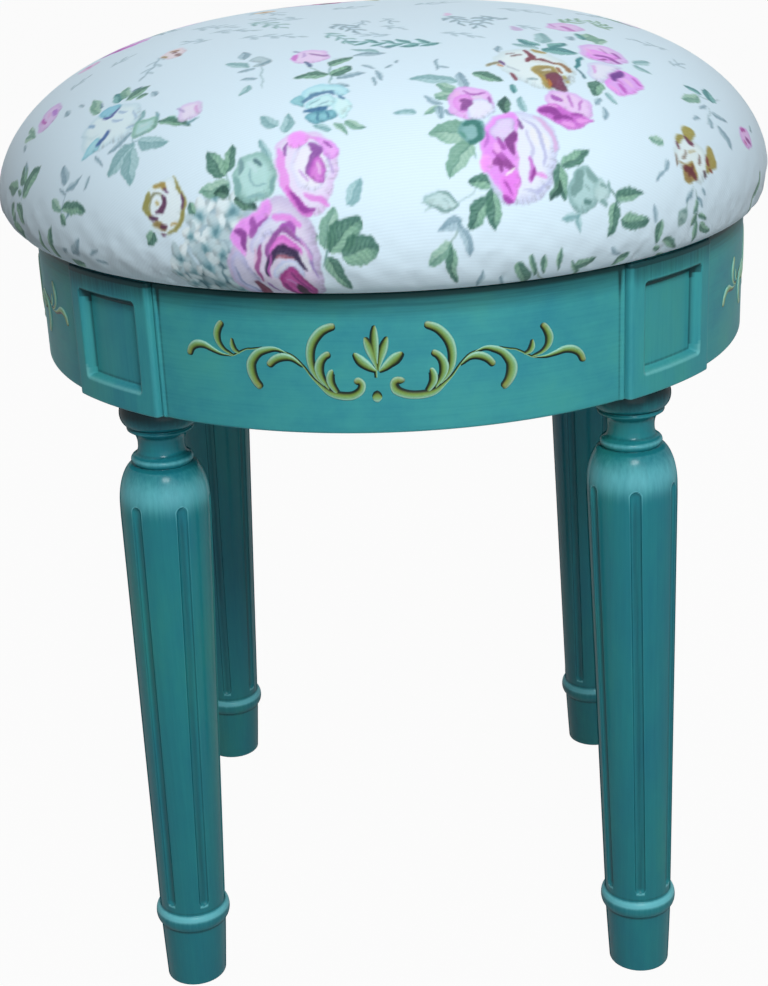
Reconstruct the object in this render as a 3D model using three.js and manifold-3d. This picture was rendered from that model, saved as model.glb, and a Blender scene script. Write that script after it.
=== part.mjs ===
// Round vanity stool: a padded seat on a ring of four curved rails and four corner blocks,
// carried by four turned and fluted legs that splay slightly outwards.
// Millimetres, +Z up. The origin is on the floor under the middle of the seat, and -Y is the front.

import * as THREE from "three";
import { mergeVertices } from "three/addons/utils/BufferGeometryUtils.js";
import Module from "manifold-3d";

const wasm = await Module();
wasm.setup();
const degrees = THREE.MathUtils.degToRad;

// Whole stool
const apronUnderside = 322; // the apron's lower edge above the floor
const apronHeight = 63;
const railRadius = 179.6; // outer face of the curved rails
const blockProud = 3.2; // how far the corner blocks stand out from the rails
const blockDepth = 62.8; // from a block's outer face inwards
const legInset = 25.6; // from a block's outer face to the leg axis at the apron's underside
const legSplay = degrees(1.7);
const corners = ["back_right", "back_left", "front_left", "front_right"];
const sides = ["right", "back", "left", "front"];
const quarterTurn = degrees(90);
const firstCorner = degrees(45);
const fitGap = 0.3; // left between pieces that touch
const cutOverrun = 2; // how far a cutter runs past the surface it opens
const apronTop = apronUnderside + apronHeight;
const blockFaceRadius = railRadius + blockProud;
const blockInnerFace = blockFaceRadius - blockDepth;
const legCircle = blockFaceRadius - legInset;
const footCircle = legCircle + apronUnderside * Math.tan(legSplay); // the leg axes on the floor

// Curved rails
const railThickness = 20;
const railSteps = 14;

// Corner blocks
const blockWidth = 59;
const blockCornerChamfer = 1.2;
const blockFaceSteps = 6;
const panelWidth = 42; // sunk panel in the outer face
const panelHeight = 43.6;
const panelDepth = 5;
const panelSlope = 3; // how far the panel's walls lean in over that depth
const panelRise = 9.8; // from the block's underside to the panel's lower edge

// Dowels between blocks and rails
const dowelRadius = 4;
const dowelLength = 28;
const dowelEdgeDistance = 16; // from the apron's upper and lower edges
const dowelPlace = Math.sqrt((railRadius - railThickness / 2) ** 2 - (blockWidth / 2) ** 2);

// Turned leg. Heights are from the floor, and drops are down from the apron.
const footRadius = 15.3;
const ankleRadius = 16.9;
const ringHeight = 38.7;
const ringRadius = 19.2;
const ringHalfHeight = 4.6;
const shaftTopDrop = 54;
const shaftTopRadius = 21.8;
const shoulderCoreRadius = 11.9;
const shoulderRise = 21.6;
const shoulderArc = degrees(65);
const beadDrop = 31.7;
const beadCoreRadius = 12.6;
const beadRound = 2.3;
const neckDrop = 25.2;
const neckRadius = 11.2;
const neckCurl = 2.6; // length of the tight end of the cove
const filletDrop = 17;
const filletRadius = 15.2;
const filletHeight = 1.4;
const collarDrop = 8.4;
const collarCoreRadius = 14.6;
const collarBulge = 4.5;
const collarHalfHeight = 6.4;
const mouldingArc = degrees(80);
const collarTopArc = degrees(60);
const arcSteps = 2;
const legSegments = 20;

// Flutes down the leg's shaft
const fluteCount = 6;
const fluteTurn = degrees(13); // the first flute, from the direction that faces outwards
const fluteRound = 2.6;
const fluteDepth = 1.4;
const fluteFootHeight = 48.5;
const fluteTopDrop = 51;
const fluteSides = 8;
const fluteCapSteps = 2;

// Hanger bolt that joins each leg to its block, and the threaded insert it runs into
const boltRadius = 4;
const boltInLeg = 34;
const boltInBlock = 22;
const boltPoint = 6;
const insertRadius = 6.2;
const insertLength = 18;
const insertFlangeRadius = 8.5;
const insertFlangeThickness = 1.6;
const insertInset = 0.5; // flange below the block's face
const boltSegments = 12;

// Nail-on glide, sunk into the underside of each foot
const glideRadius = 11;
const glideHeight = 2;
const glideStand = 0.8; // what shows of it below the foot
const glideChamfer = 0.6;
const nailRadius = 1.2;
const nailLength = 13;
const nailPoint = 3;

// Screws that hold the seat down
const screwInset = 10; // from a block's inner face
const screwCircle = blockInnerFace + screwInset;
const screwHeadRadius = 4.5;
const screwHeadHeight = 3;
const screwRadius = 2;
const screwBite = 8.1; // how far a screw goes into the board
const screwPoint = 4;
const counterboreRadius = 5.5;
const screwHold = 32; // wood left above the counterbore

// Seat
const seatOverhang = 12.9; // the cushion's widest line, out from the rails
const seatRadius = railRadius + seatOverhang;
const seatRoll = 18.5; // from the cushion's underside up to that line
const seatCrown = 76.2; // from there to the top of the dome
const crownSidePower = 2.93; // the dome's outline is a superellipse with these two powers
const crownTopPower = 1.83;
const undersideInset = 1.1; // the rim of the cushion's flat underside, in from the rails
const seatUndersideRadius = railRadius - undersideInset;
const coverThickness = 1;
const boardInset = 3.5; // the board's edge, in from that rim
const boardRadius = seatUndersideRadius - boardInset;
const boardThickness = 12;
const dustCoverClearance = 3; // from the blocks' inner faces
const dustCoverRadius = blockInnerFace - dustCoverClearance;
const dustCoverThickness = 0.8;
const hemLap = 5; // the cover's folded hem reaches this far over the dust cover
const coverHemRadius = dustCoverRadius - hemLap;
const crownSteps = 10;
const rollSteps = 3;
const seatSegments = 40;

// Paint, cloth, wood and metal
const paint = new THREE.MeshStandardMaterial({ color: 0x3b8284, roughness: 0.38 });
const cloth = new THREE.MeshStandardMaterial({ color: 0xd5dde0, roughness: 0.9 });
const foam = new THREE.MeshStandardMaterial({ color: 0xe9dfb4, roughness: 1 });
const plywood = new THREE.MeshStandardMaterial({ color: 0xc7a574, roughness: 0.8 });
const beech = new THREE.MeshStandardMaterial({ color: 0xcfa877, roughness: 0.7 });
const lining = new THREE.MeshStandardMaterial({ color: 0x1c1c1e, roughness: 0.95 });
const zincSteel = new THREE.MeshStandardMaterial({ color: 0xb9bcc0, roughness: 0.35, metalness: 1 });
const nylon = new THREE.MeshStandardMaterial({ color: 0x3a3632, roughness: 0.6 });

const stool = new THREE.Group();

// Solids for cutting, and meshes made from them
function solidOf(geometry) {
  const bare = geometry.clone();
  bare.deleteAttribute("normal");
  bare.deleteAttribute("uv");
  const merged = mergeVertices(bare);
  const vertProperties = merged.attributes.position.array;
  const triVerts = new Uint32Array(merged.index.array);
  return new wasm.Manifold(new wasm.Mesh({ numProp: 3, vertProperties, triVerts }));
}

function geometryOf(solid) {
  const { vertProperties, triVerts } = solid.getMesh();
  const geometry = new THREE.BufferGeometry();
  geometry.setAttribute("position", new THREE.BufferAttribute(vertProperties, 3));
  geometry.setIndex(new THREE.BufferAttribute(triVerts, 1));
  return geometry;
}

function cut(geometry, cutters) {
  return geometryOf(cutters.reduce((left, cutter) => left.subtract(solidOf(cutter)), solidOf(geometry)));
}

function addPiece(group, name, geometry, material) {
  const mesh = new THREE.Mesh(geometry, material);
  mesh.name = name;
  group.add(mesh);
}

// A turned shape about +Z, from points of radius and height that run up its outside
function turned(points, segments) {
  const profile = points.map(([radius, height]) => new THREE.Vector2(radius, height));
  return new THREE.LatheGeometry(profile, segments).rotateX(quarterTurn);
}

function upright(radius, low, high, segments) {
  return turned([[0, low], [radius, low], [radius, high], [0, high]], segments);
}

// Puts a shape that was made about +Z onto the leaning axis of the leg, in the corner's frame,
// where +X points outwards along the diagonal
function ontoLegAxis(geometry) {
  return geometry
    .translate(0, 0, -apronUnderside)
    .rotateY(-legSplay)
    .translate(legCircle, 0, apronUnderside);
}

function slab(low, high) {
  const reach = 2 * (legCircle + shaftTopRadius);
  return new THREE.BoxGeometry(reach, reach, high - low)
    .translate(legCircle, 0, (low + high) / 2);
}

// Turned leg with its flutes, levelled at the foot and at the apron
function legOutline() {
  const neckHeight = apronUnderside - neckDrop;
  const filletBottom = apronUnderside - filletDrop;
  const beadHeight = apronUnderside - beadDrop;
  const collarHeight = apronUnderside - collarDrop;
  const outline = new THREE.Path();
  outline.moveTo(0, -cutOverrun);
  outline.lineTo(footRadius, -cutOverrun);
  outline.lineTo(ankleRadius, ringHeight - ringHalfHeight);
  outline.absellipse(ankleRadius, ringHeight, ringRadius - ankleRadius, ringHalfHeight,
    -quarterTurn, quarterTurn, false);
  outline.absellipse(shoulderCoreRadius, apronUnderside - shaftTopDrop,
    shaftTopRadius - shoulderCoreRadius, shoulderRise, 0, shoulderArc, false);
  outline.absellipse(beadCoreRadius, beadHeight, beadRound, beadRound,
    -mouldingArc, mouldingArc, false);
  outline.quadraticCurveTo(neckRadius, neckHeight - neckCurl, neckRadius, neckHeight);
  outline.quadraticCurveTo(neckRadius, filletBottom - neckCurl, filletRadius, filletBottom);
  outline.lineTo(filletRadius, filletBottom + filletHeight);
  outline.absellipse(collarCoreRadius, collarHeight, collarBulge, collarHalfHeight,
    -mouldingArc, collarTopArc, false);
  const points = outline.getPoints(arcSteps).map((p) => [p.x, p.y]);
  const [collarTopRadius] = points[points.length - 1];
  const holeRadius = boltRadius + fitGap;
  const holeFloor = apronUnderside - boltInLeg - fitGap;
  points.push([collarTopRadius, apronUnderside + cutOverrun]);
  points.push([holeRadius, apronUnderside + cutOverrun]);
  points.push([holeRadius, holeFloor], [0, holeFloor]);
  return points;
}

function fluteCutter(index) {
  const shaftFoot = ringHeight + ringHalfHeight;
  const shaftTop = apronUnderside - shaftTopDrop;
  const taper = (shaftTopRadius - ankleRadius) / (shaftTop - shaftFoot);
  const bottom = fluteFootHeight + fluteRound;
  const top = apronUnderside - fluteTopDrop - fluteRound;
  const middle = (bottom + top) / 2;
  const shaftRadius = ankleRadius + taper * (middle - shaftFoot);
  return new THREE.CapsuleGeometry(fluteRound, top - bottom, fluteCapSteps, fluteSides)
    .rotateX(quarterTurn)
    .rotateY(Math.atan(taper))
    .translate(shaftRadius + fluteRound - fluteDepth, 0, middle)
    .rotateZ(fluteTurn + index * 2 * Math.PI / fluteCount);
}

function nailHole() {
  return upright(nailRadius + fitGap, 0, glideHeight + nailLength + fitGap, boltSegments)
    .translate(footCircle, 0, 0);
}

function glideRecess() {
  return upright(glideRadius + fitGap, 0, glideHeight + fitGap, boltSegments)
    .translate(footCircle, 0, 0);
}

function legShape() {
  const flutes = Array.from({ length: fluteCount }, (_, i) => ontoLegAxis(fluteCutter(i)));
  const belowFoot = slab(-apronUnderside, glideStand);
  const aboveTop = slab(apronUnderside - fitGap, apronTop);
  const blank = ontoLegAxis(turned(legOutline(), legSegments));
  return cut(blank, [...flutes, belowFoot, aboveTop, glideRecess(), nailHole()]);
}

function boltShape() {
  const foot = apronUnderside - boltInLeg;
  return ontoLegAxis(turned([
    [0, foot],
    [boltRadius, foot + boltPoint],
    [boltRadius, apronUnderside + boltInBlock],
    [0, apronUnderside + boltInBlock],
  ], boltSegments));
}

function insertShape() {
  const bore = boltRadius + fitGap;
  const foot = apronUnderside + insertInset;
  return ontoLegAxis(turned([
    [bore, foot],
    [insertFlangeRadius, foot],
    [insertFlangeRadius, foot + insertFlangeThickness],
    [insertRadius, foot + insertFlangeThickness],
    [insertRadius, foot + insertLength],
    [bore, foot + insertLength],
    [bore, foot],
  ], boltSegments));
}

function glideShape() {
  const top = glideHeight + nailLength;
  return turned([
    [0, 0],
    [glideRadius - glideChamfer, 0],
    [glideRadius, glideChamfer],
    [glideRadius, glideHeight],
    [nailRadius, glideHeight],
    [nailRadius, top - nailPoint],
    [0, top],
  ], boltSegments).translate(footCircle, 0, 0);
}

// Corner block: a post with a curved face, a sunk panel, and holes for the insert, screw and dowels
function blockBlank() {
  const half = blockWidth / 2;
  const edgeAngle = Math.asin((half - blockCornerChamfer) / blockFaceRadius);
  const shoulderX = Math.sqrt(blockFaceRadius ** 2 - half ** 2) - blockCornerChamfer;
  const outline = new THREE.Shape();
  outline.moveTo(blockInnerFace, -half);
  outline.lineTo(shoulderX, -half);
  outline.absarc(0, 0, blockFaceRadius, -edgeAngle, edgeAngle, false);
  outline.lineTo(shoulderX, half);
  outline.lineTo(blockInnerFace, half);
  outline.closePath();
  return new THREE.ExtrudeGeometry(outline,
    { depth: apronHeight, bevelEnabled: false, curveSegments: blockFaceSteps })
    .translate(0, 0, apronUnderside);
}

function panelCutter() {
  const box = new THREE.BoxGeometry(panelDepth + cutOverrun, panelWidth, panelHeight)
    .translate((cutOverrun - panelDepth) / 2, 0, 0);
  const place = box.attributes.position;
  const lean = panelSlope / panelDepth;
  for (let i = 0; i < place.count; i++) {
    const inset = -place.getX(i) * lean;
    place.setY(i, place.getY(i) - Math.sign(place.getY(i)) * inset);
    place.setZ(i, place.getZ(i) - Math.sign(place.getZ(i)) * inset);
  }
  return box.translate(blockFaceRadius, 0, apronUnderside + panelRise + panelHeight / 2);
}

function insertHole() {
  const flangeHole = insertFlangeRadius + fitGap;
  const bodyHole = insertRadius + fitGap;
  const boltHole = boltRadius + fitGap;
  const flangeTop = apronUnderside + insertInset + insertFlangeThickness + fitGap;
  const bodyTop = apronUnderside + insertInset + insertLength + fitGap;
  const boltTop = apronUnderside + boltInBlock + fitGap;
  return ontoLegAxis(turned([
    [0, apronUnderside - cutOverrun],
    [flangeHole, apronUnderside - cutOverrun],
    [flangeHole, flangeTop],
    [bodyHole, flangeTop],
    [bodyHole, bodyTop],
    [boltHole, bodyTop],
    [boltHole, boltTop],
    [0, boltTop],
  ], boltSegments));
}

function screwHole() {
  const seat = apronTop - screwHold;
  return turned([
    [0, apronUnderside - cutOverrun],
    [counterboreRadius, apronUnderside - cutOverrun],
    [counterboreRadius, seat],
    [screwRadius + fitGap, seat],
    [screwRadius + fitGap, apronTop + cutOverrun],
    [0, apronTop + cutOverrun],
  ], boltSegments).translate(screwCircle, 0, 0);
}

function screwShape() {
  const neck = apronTop - screwHold - fitGap;
  const foot = neck - screwHeadHeight;
  const tip = boardUnderside + screwBite;
  return turned([
    [0, foot],
    [screwHeadRadius, foot],
    [screwHeadRadius, neck],
    [screwRadius, neck],
    [screwRadius, tip - screwPoint],
    [0, tip],
  ], boltSegments).translate(screwCircle, 0, 0);
}

// A dowel lies along Y in the corner's frame, across the joint between block and rail
const dowelHeights = {
  lower: apronUnderside + dowelEdgeDistance,
  upper: apronTop - dowelEdgeDistance,
};

function dowelShape(height, side, clearance) {
  const length = dowelLength + 2 * clearance;
  return upright(dowelRadius + clearance, -length / 2, length / 2, boltSegments)
    .rotateX(quarterTurn)
    .translate(dowelPlace, side * blockWidth / 2, height);
}

function dowelHoles(side) {
  return Object.values(dowelHeights).map((height) => dowelShape(height, side, fitGap));
}

function blockShape() {
  return cut(blockBlank(),
    [panelCutter(), insertHole(), screwHole(), ...dowelHoles(1), ...dowelHoles(-1)]);
}

// Curved rail, centred on +X, with its ends cut parallel to the blocks it meets
function railShape() {
  const inner = railRadius - railThickness;
  const endOffset = blockWidth / 2 + fitGap;
  const outerEnd = firstCorner - Math.asin(endOffset / railRadius);
  const innerEnd = firstCorner - Math.asin(endOffset / inner);
  const outline = new THREE.Shape();
  outline.absarc(0, 0, railRadius, -outerEnd, outerEnd, false);
  outline.absarc(0, 0, inner, innerEnd, -innerEnd, true);
  outline.closePath();
  const blank = new THREE.ExtrudeGeometry(outline,
    { depth: apronHeight, bevelEnabled: false, curveSegments: railSteps })
    .translate(0, 0, apronUnderside);
  const holes = [
    ...dowelHoles(-1).map((hole) => hole.rotateZ(firstCorner)),
    ...dowelHoles(1).map((hole) => hole.rotateZ(-firstCorner)),
  ];
  return cut(blank, holes);
}

// Seat outline as points of radius and height, from the rim of the flat underside to the top.
// inset moves it inwards, for what lies under the cover.
const seatUnderside = apronTop + fitGap;
const widestHeight = seatUnderside + seatRoll;

function rollPoint(step, inset) {
  const angle = quarterTurn * (1 - step / rollSteps);
  return [
    seatUndersideRadius + (seatRadius - seatUndersideRadius - inset) * Math.cos(angle),
    widestHeight - (seatRoll - inset) * Math.sin(angle),
  ];
}

function crownPoint(step, inset) {
  const angle = quarterTurn * (1 - step / crownSteps);
  return [
    (seatRadius - inset) * Math.sin(angle) ** (2 / crownSidePower),
    widestHeight + (seatCrown - inset) * Math.cos(angle) ** (2 / crownTopPower),
  ];
}

function seatOutline(inset) {
  const roll = Array.from({ length: rollSteps }, (_, step) => rollPoint(step, inset));
  const crown = Array.from({ length: crownSteps }, (_, step) => crownPoint(step, inset));
  return [...roll, ...crown, [0, widestHeight + seatCrown - inset]];
}

function atEachScrew(cutter) {
  return corners.map((_, i) => cutter.clone()
    .translate(screwCircle, 0, 0)
    .rotateZ(firstCorner + i * quarterTurn));
}

function coverShape() {
  const outside = seatOutline(0);
  const inside = seatOutline(coverThickness).reverse();
  const shell = turned([
    ...inside,
    [coverHemRadius, seatUnderside + coverThickness],
    [coverHemRadius, seatUnderside],
    ...outside,
  ], seatSegments);
  const hole = upright(screwRadius + fitGap, seatUnderside - cutOverrun,
    seatUnderside + coverThickness + cutOverrun, boltSegments);
  return cut(shell, atEachScrew(hole));
}

const boardUnderside = seatUnderside + coverThickness + fitGap;

function boardShape() {
  const disc = upright(boardRadius, boardUnderside, boardUnderside + boardThickness, seatSegments);
  const pilot = upright(screwRadius + fitGap, boardUnderside - cutOverrun,
    boardUnderside + screwBite + fitGap, boltSegments);
  return cut(disc, atEachScrew(pilot));
}

// The foam covers the top and the edge of the board
function foamShape() {
  const inset = coverThickness + fitGap;
  const boardTop = boardUnderside + boardThickness;
  return turned([
    [0, boardTop + fitGap],
    [boardRadius + fitGap, boardTop + fitGap],
    [boardRadius + fitGap, seatUnderside + inset],
    ...seatOutline(inset),
  ], seatSegments);
}

function dustCoverShape() {
  return upright(dustCoverRadius, apronTop - dustCoverThickness, apronTop, seatSegments);
}

// Assembly
const shapes = {
  leg: legShape(),
  block: blockShape(),
  bolt: boltShape(),
  insert: insertShape(),
  glide: glideShape(),
  screw: screwShape(),
  rail: railShape(),
};

corners.forEach((corner, i) => {
  const group = new THREE.Group();
  group.rotation.z = firstCorner + i * quarterTurn;
  addPiece(group, `leg_${corner}`, shapes.leg, paint);
  addPiece(group, `corner_block_${corner}`, shapes.block, paint);
  addPiece(group, `hanger_bolt_${corner}`, shapes.bolt, zincSteel);
  addPiece(group, `threaded_insert_${corner}`, shapes.insert, zincSteel);
  addPiece(group, `foot_glide_${corner}`, shapes.glide, nylon);
  addPiece(group, `seat_screw_${corner}`, shapes.screw, zincSteel);
  for (const [level, height] of Object.entries(dowelHeights)) {
    addPiece(group, `dowel_${corner}_a_${level}`, dowelShape(height, -1, 0), beech);
    addPiece(group, `dowel_${corner}_b_${level}`, dowelShape(height, 1, 0), beech);
  }
  stool.add(group);
});

sides.forEach((side, i) => {
  const group = new THREE.Group();
  group.rotation.z = i * quarterTurn;
  addPiece(group, `apron_rail_${side}`, shapes.rail, paint);
  stool.add(group);
});

addPiece(stool, "seat_cover", coverShape(), cloth);
addPiece(stool, "foam_pad", foamShape(), foam);
addPiece(stool, "seat_board", boardShape(), plywood);
addPiece(stool, "dust_cover", dustCoverShape(), lining);

export default stool;
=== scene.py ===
# Round vanity stool: a stuffed seat in printed cotton on a brushed and glazed frame.
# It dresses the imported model. Everything is in metres, +Z up, and the front looks along -Y.
import math

import bpy
import numpy as np
from mathutils import Matrix, Vector
from mathutils.bvhtree import BVHTree
from mathutils.geometry import delaunay_2d_cdt


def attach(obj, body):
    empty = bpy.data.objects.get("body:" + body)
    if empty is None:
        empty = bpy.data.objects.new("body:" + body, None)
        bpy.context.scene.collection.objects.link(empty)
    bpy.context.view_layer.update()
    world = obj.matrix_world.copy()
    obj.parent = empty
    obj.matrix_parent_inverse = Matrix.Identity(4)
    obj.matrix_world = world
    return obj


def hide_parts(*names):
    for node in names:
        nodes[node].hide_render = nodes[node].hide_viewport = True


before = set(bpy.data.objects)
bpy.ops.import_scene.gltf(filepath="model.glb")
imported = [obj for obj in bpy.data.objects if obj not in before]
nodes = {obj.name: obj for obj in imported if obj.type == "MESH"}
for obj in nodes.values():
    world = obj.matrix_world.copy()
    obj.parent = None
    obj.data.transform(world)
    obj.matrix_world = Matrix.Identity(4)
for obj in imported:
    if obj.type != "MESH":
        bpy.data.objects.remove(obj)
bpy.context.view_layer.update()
mm = 0.001
corners = ["back_right", "back_left", "front_left", "front_right"]  # from +45 degrees, a quarter turn apart
sides = ["right", "back", "left", "front"]  # from 0 degrees

# Sizes that several pieces share, in millimetres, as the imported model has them
stool = {
    "apronUnderside": 322.0,
    "apronTop": 385.0,
    "railRadius": 179.6,
    "blockRadius": 182.8,
    "blockHalfWidth": 29.5,
    "fitGap": 0.3,
    "spacing": 0.6,  # between the points of a finely turned edge
}


# Small tools

def hexColour(text):
    # the sRGB bytes of #rrggbb as 0 to 1
    return np.array([int(text[i:i + 2], 16) for i in (1, 3, 5)]) / 255


def toLinear(c):
    # sRGB to linear: c / 12.92 up to 0.04045, above it ((c + 0.055) / 1.055) ^ 2.4
    return np.where(c <= 0.04045, c / 12.92, ((c + 0.055) / 1.055) ** 2.4)


def linear(text):
    return toLinear(hexColour(text))


def smooth(low, high, value):
    # t * t * (3 - 2 t), with t the value's share of the way from low to high
    t = np.clip((value - low) / (high - low), 0, 1)
    return t * t * (3 - 2 * t)


def bell(value, at, width):
    # e ^ -((value - at) / width)^2
    return np.exp(-((value - at) / width) ** 2)


def lengthAlong(line):
    # the length of a line of points from its start to each of them
    return np.concatenate([[0], np.cumsum(np.hypot(*np.diff(line, axis=0).T))])


def gridQuads(rows, columns, closed):
    # quads between neighbouring rows and columns; closed joins the last column to the first
    row = np.arange(rows - 1)[:, None]
    column = np.arange(columns if closed else columns - 1)[None, :]
    beside = (column + 1) % columns
    quads = [row * columns + column, row * columns + beside,
             (row + 1) * columns + beside, (row + 1) * columns + column]
    return np.stack([q.ravel() for q in quads], 1)


def band(ring, nextRing):
    # quads between two closed rings of as many points
    return np.stack([ring, nextRing, np.roll(nextRing, -1), np.roll(ring, -1)], 1)


def fan(loop, centre):
    # triangles from each edge of a closed loop to one centre point
    return np.stack([loop, np.roll(loop, -1), np.full(len(loop), centre)], 1)


def makeMesh(name, points, faceSets):
    # points in metres and arrays of quads or triangles become one smooth-shaded mesh object
    mesh = bpy.data.meshes.new(name)
    points = np.asarray(points, np.float32)
    loops = np.concatenate([faces.ravel() for faces in faceSets]).astype(np.int32)
    sizes = np.concatenate([np.full(len(faces), faces.shape[1]) for faces in faceSets])
    starts = np.concatenate([[0], np.cumsum(sizes)[:-1]]).astype(np.int32)
    mesh.vertices.add(len(points))
    mesh.vertices.foreach_set("co", points.ravel())
    mesh.loops.add(len(loops))
    mesh.loops.foreach_set("vertex_index", loops)
    mesh.polygons.add(len(sizes))
    mesh.polygons.foreach_set("loop_start", starts)
    mesh.update(calc_edges=True)
    mesh.shade_smooth()
    piece = bpy.data.objects.new(name, mesh)
    bpy.context.scene.collection.objects.link(piece)
    return piece


def pointValue(piece, name, values):
    # a number for each point that the materials read by name
    layer = piece.data.attributes.new(name, "FLOAT", "POINT")
    layer.data.foreach_set("value", np.asarray(values, np.float32).ravel())


def pointColour(piece, name, colours):
    # a linear colour for each point
    layer = piece.data.attributes.new(name, "FLOAT_COLOR", "POINT")
    full = np.ones((len(colours), 4), np.float32)
    full[:, :3] = colours
    layer.data.foreach_set("color", full.ravel())


def cornerMap(piece, name, pointMap):
    # a UV map from one pair for each point
    loops = np.zeros(len(piece.data.loops), np.int32)
    piece.data.loops.foreach_get("vertex_index", loops)
    layer = piece.data.uv_layers.new(name=name)
    layer.data.foreach_set("uv", np.asarray(pointMap, np.float32)[loops].ravel())


def turnAboutZ(points, degrees):
    # x cos a - y sin a, x sin a + y cos a
    c, s = math.cos(math.radians(degrees)), math.sin(math.radians(degrees))
    x, y, z = points.T
    return np.stack([x * c - y * s, x * s + y * c, z], 1)


def finishPiece(piece, material, slotName, *standsFor):
    piece.data.materials.append(material)
    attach(piece, "root")
    if standsFor:
        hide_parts(*standsFor)


print("frame loaded")


# Materials

def addNode(tree, kind, inputs=None, stops=(), **settings):
    # one shader node: an input is a value, a #rrggbb colour, or the output of another node
    node = tree.nodes.new("ShaderNode" + kind)
    for name, value in settings.items():
        setattr(node, name, value)
    for key, value in (inputs or {}).items():
        if isinstance(value, bpy.types.NodeSocket):
            tree.links.new(value, node.inputs[key])
        else:
            node.inputs[key].default_value = (*linear(value), 1) if isinstance(value, str) else value
    for i, (place, colour) in enumerate(stops):
        element = node.color_ramp.elements[i] if i < 2 else node.color_ramp.elements.new(place)
        element.position = place
        element.color = (*(linear(colour) if isinstance(colour, str) else [colour] * 3), 1)
    return node


def newMaterial(name):
    material = bpy.data.materials.new(name)
    material.use_nodes = True
    material.node_tree.nodes.clear()
    return material, material.node_tree


def objectPlace(tree, scale=(1, 1, 1)):
    place = addNode(tree, "TexCoord").outputs["Object"]
    return addNode(tree, "Mapping", {"Vector": place, "Scale": scale}).outputs[0]


def noise(tree, place, scale, detail, roughness=0.5):
    return addNode(tree, "TexNoise", {"Vector": place, "Scale": scale, "Detail": detail,
                                      "Roughness": roughness}).outputs["Fac"]


def levelBands(tree, place, period, distortion=0.0):
    # a wave texture of scale s repeats each 0.314 / s
    return addNode(tree, "TexWave", {"Vector": place, "Scale": 0.314 / period, "Distortion": distortion},
                   wave_type="BANDS", bands_direction="Z").outputs["Fac"]


def ramp(tree, value, *stops):
    return addNode(tree, "ValToRGB", {"Fac": value}, stops).outputs[0]


def blend(tree, share, under, over, kind="MIX"):
    return addNode(tree, "Mix", {0: share, 6: under, 7: over}, data_type="RGBA", blend_type=kind).outputs[2]


def multiplyAdd(tree, value, factor, more):
    return addNode(tree, "Math", {0: value, 1: factor, 2: more}, operation="MULTIPLY_ADD").outputs[0]


def remap(tree, value, fromLow, fromHigh, toLow, toHigh, kind="LINEAR"):
    ends = {"From Min": fromLow, "From Max": fromHigh, "To Min": toLow, "To Max": toHigh}
    return addNode(tree, "MapRange", {"Value": value} | ends, interpolation_type=kind).outputs[0]


def closeMaterial(tree, shader):
    out = addNode(tree, "OutputMaterial")
    tree.links.new(shader.outputs[0], out.inputs["Surface"])


def closeSurface(tree, colour, roughness, height, strength, distance, more=None):
    # a principled surface whose bump stands by the height, distance being in metres
    bump = addNode(tree, "Bump", {"Height": height, "Strength": strength, "Distance": distance})
    inputs = {"Base Color": colour, "Roughness": roughness, "Normal": bump.outputs[0], "IOR": 1.5}
    closeMaterial(tree, addNode(tree, "BsdfPrincipled", inputs | (more or {})))


def brushedEnamel(name, look):
    # Satin enamel, brushed on by hand over wood: streaks run with the brush. A lighter colour paints
    # rubbed edges and painted highlights, a dark one paints glaze and painted shade in hollows, at
    # joints and under the seat. IOR 1.5, a soft sheen.
    material, tree = newMaterial(name)
    wide, long, blotch = 1 / look["streakWidth"], 1 / look["streakLength"], 1 / look["blotch"]
    if look["alongMap"]:
        place = addNode(tree, "UVMap", uv_map="brush").outputs["UV"]
        scales = (long, wide, 1), (blotch, blotch, 1)
    else:
        place = addNode(tree, "TexCoord").outputs["Object"]
        scales = (wide, wide, long), (blotch, blotch, 0.4 * blotch)
    stretched = [addNode(tree, "Mapping", {"Vector": place, "Scale": scale}).outputs[0] for scale in scales]
    streak = noise(tree, stretched[0], 1.0, 4.0, 0.6)
    cloudy = noise(tree, stretched[1], 1.0, 5.0, 0.62)
    strokes = ramp(tree, streak, (0.3, look["streakDark"]), (0.5, look["base"]), (0.72, look["streakLight"]))
    clouds = ramp(tree, cloudy, (0.32, look["blotchDark"]), (0.55, look["base"]), (0.75, look["blotchLight"]))
    body = blend(tree, look["blotchShare"], strokes, clouds)
    # rubbed edges and painted highlights where the wearAndPaintedLight value plus a quarter of the
    # streaks is high, glaze and painted shade where it is low, each cut to a soft step
    wearAndPaintedLight = addNode(tree, "Attribute", attribute_name="wearAndPaintedLight").outputs["Fac"]
    rubbedAndHighlight = multiplyAdd(tree, streak, 0.25, wearAndPaintedLight)
    rubAndHighlightShare = remap(tree, rubbedAndHighlight, 0.22, 0.95, 0.0, look["rubAndHighlightShare"], "SMOOTHSTEP")
    glazeAndShadeShare = remap(tree, rubbedAndHighlight, 0.05, -0.8, 0.0, look["glazeAndShadeShare"], "SMOOTHSTEP")
    glazedAndShaded = blend(tree, glazeAndShadeShare, blend(tree, rubAndHighlightShare, body, look["rubbedAndHighlight"]), look["glazeAndShade"])
    sheen = remap(tree, streak, 0.3, 0.7, look["roughness"] - 0.02, look["roughness"] + 0.03)
    # the glaze film keeps its gloss where it is seen squarely and goes dull at a glancing angle
    glance = addNode(tree, "LayerWeight", {"Blend": 0.5}).outputs["Facing"]
    gloss = remap(tree, glance, 0.25, look["dullAt"], look["gloss"], look["glossLeft"])
    closeSurface(tree, glazedAndShaded, sheen, multiplyAdd(tree, cloudy, 0.6, streak), look["bump"], 0.0004,
                 {"Specular IOR Level": gloss})
    return material


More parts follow.
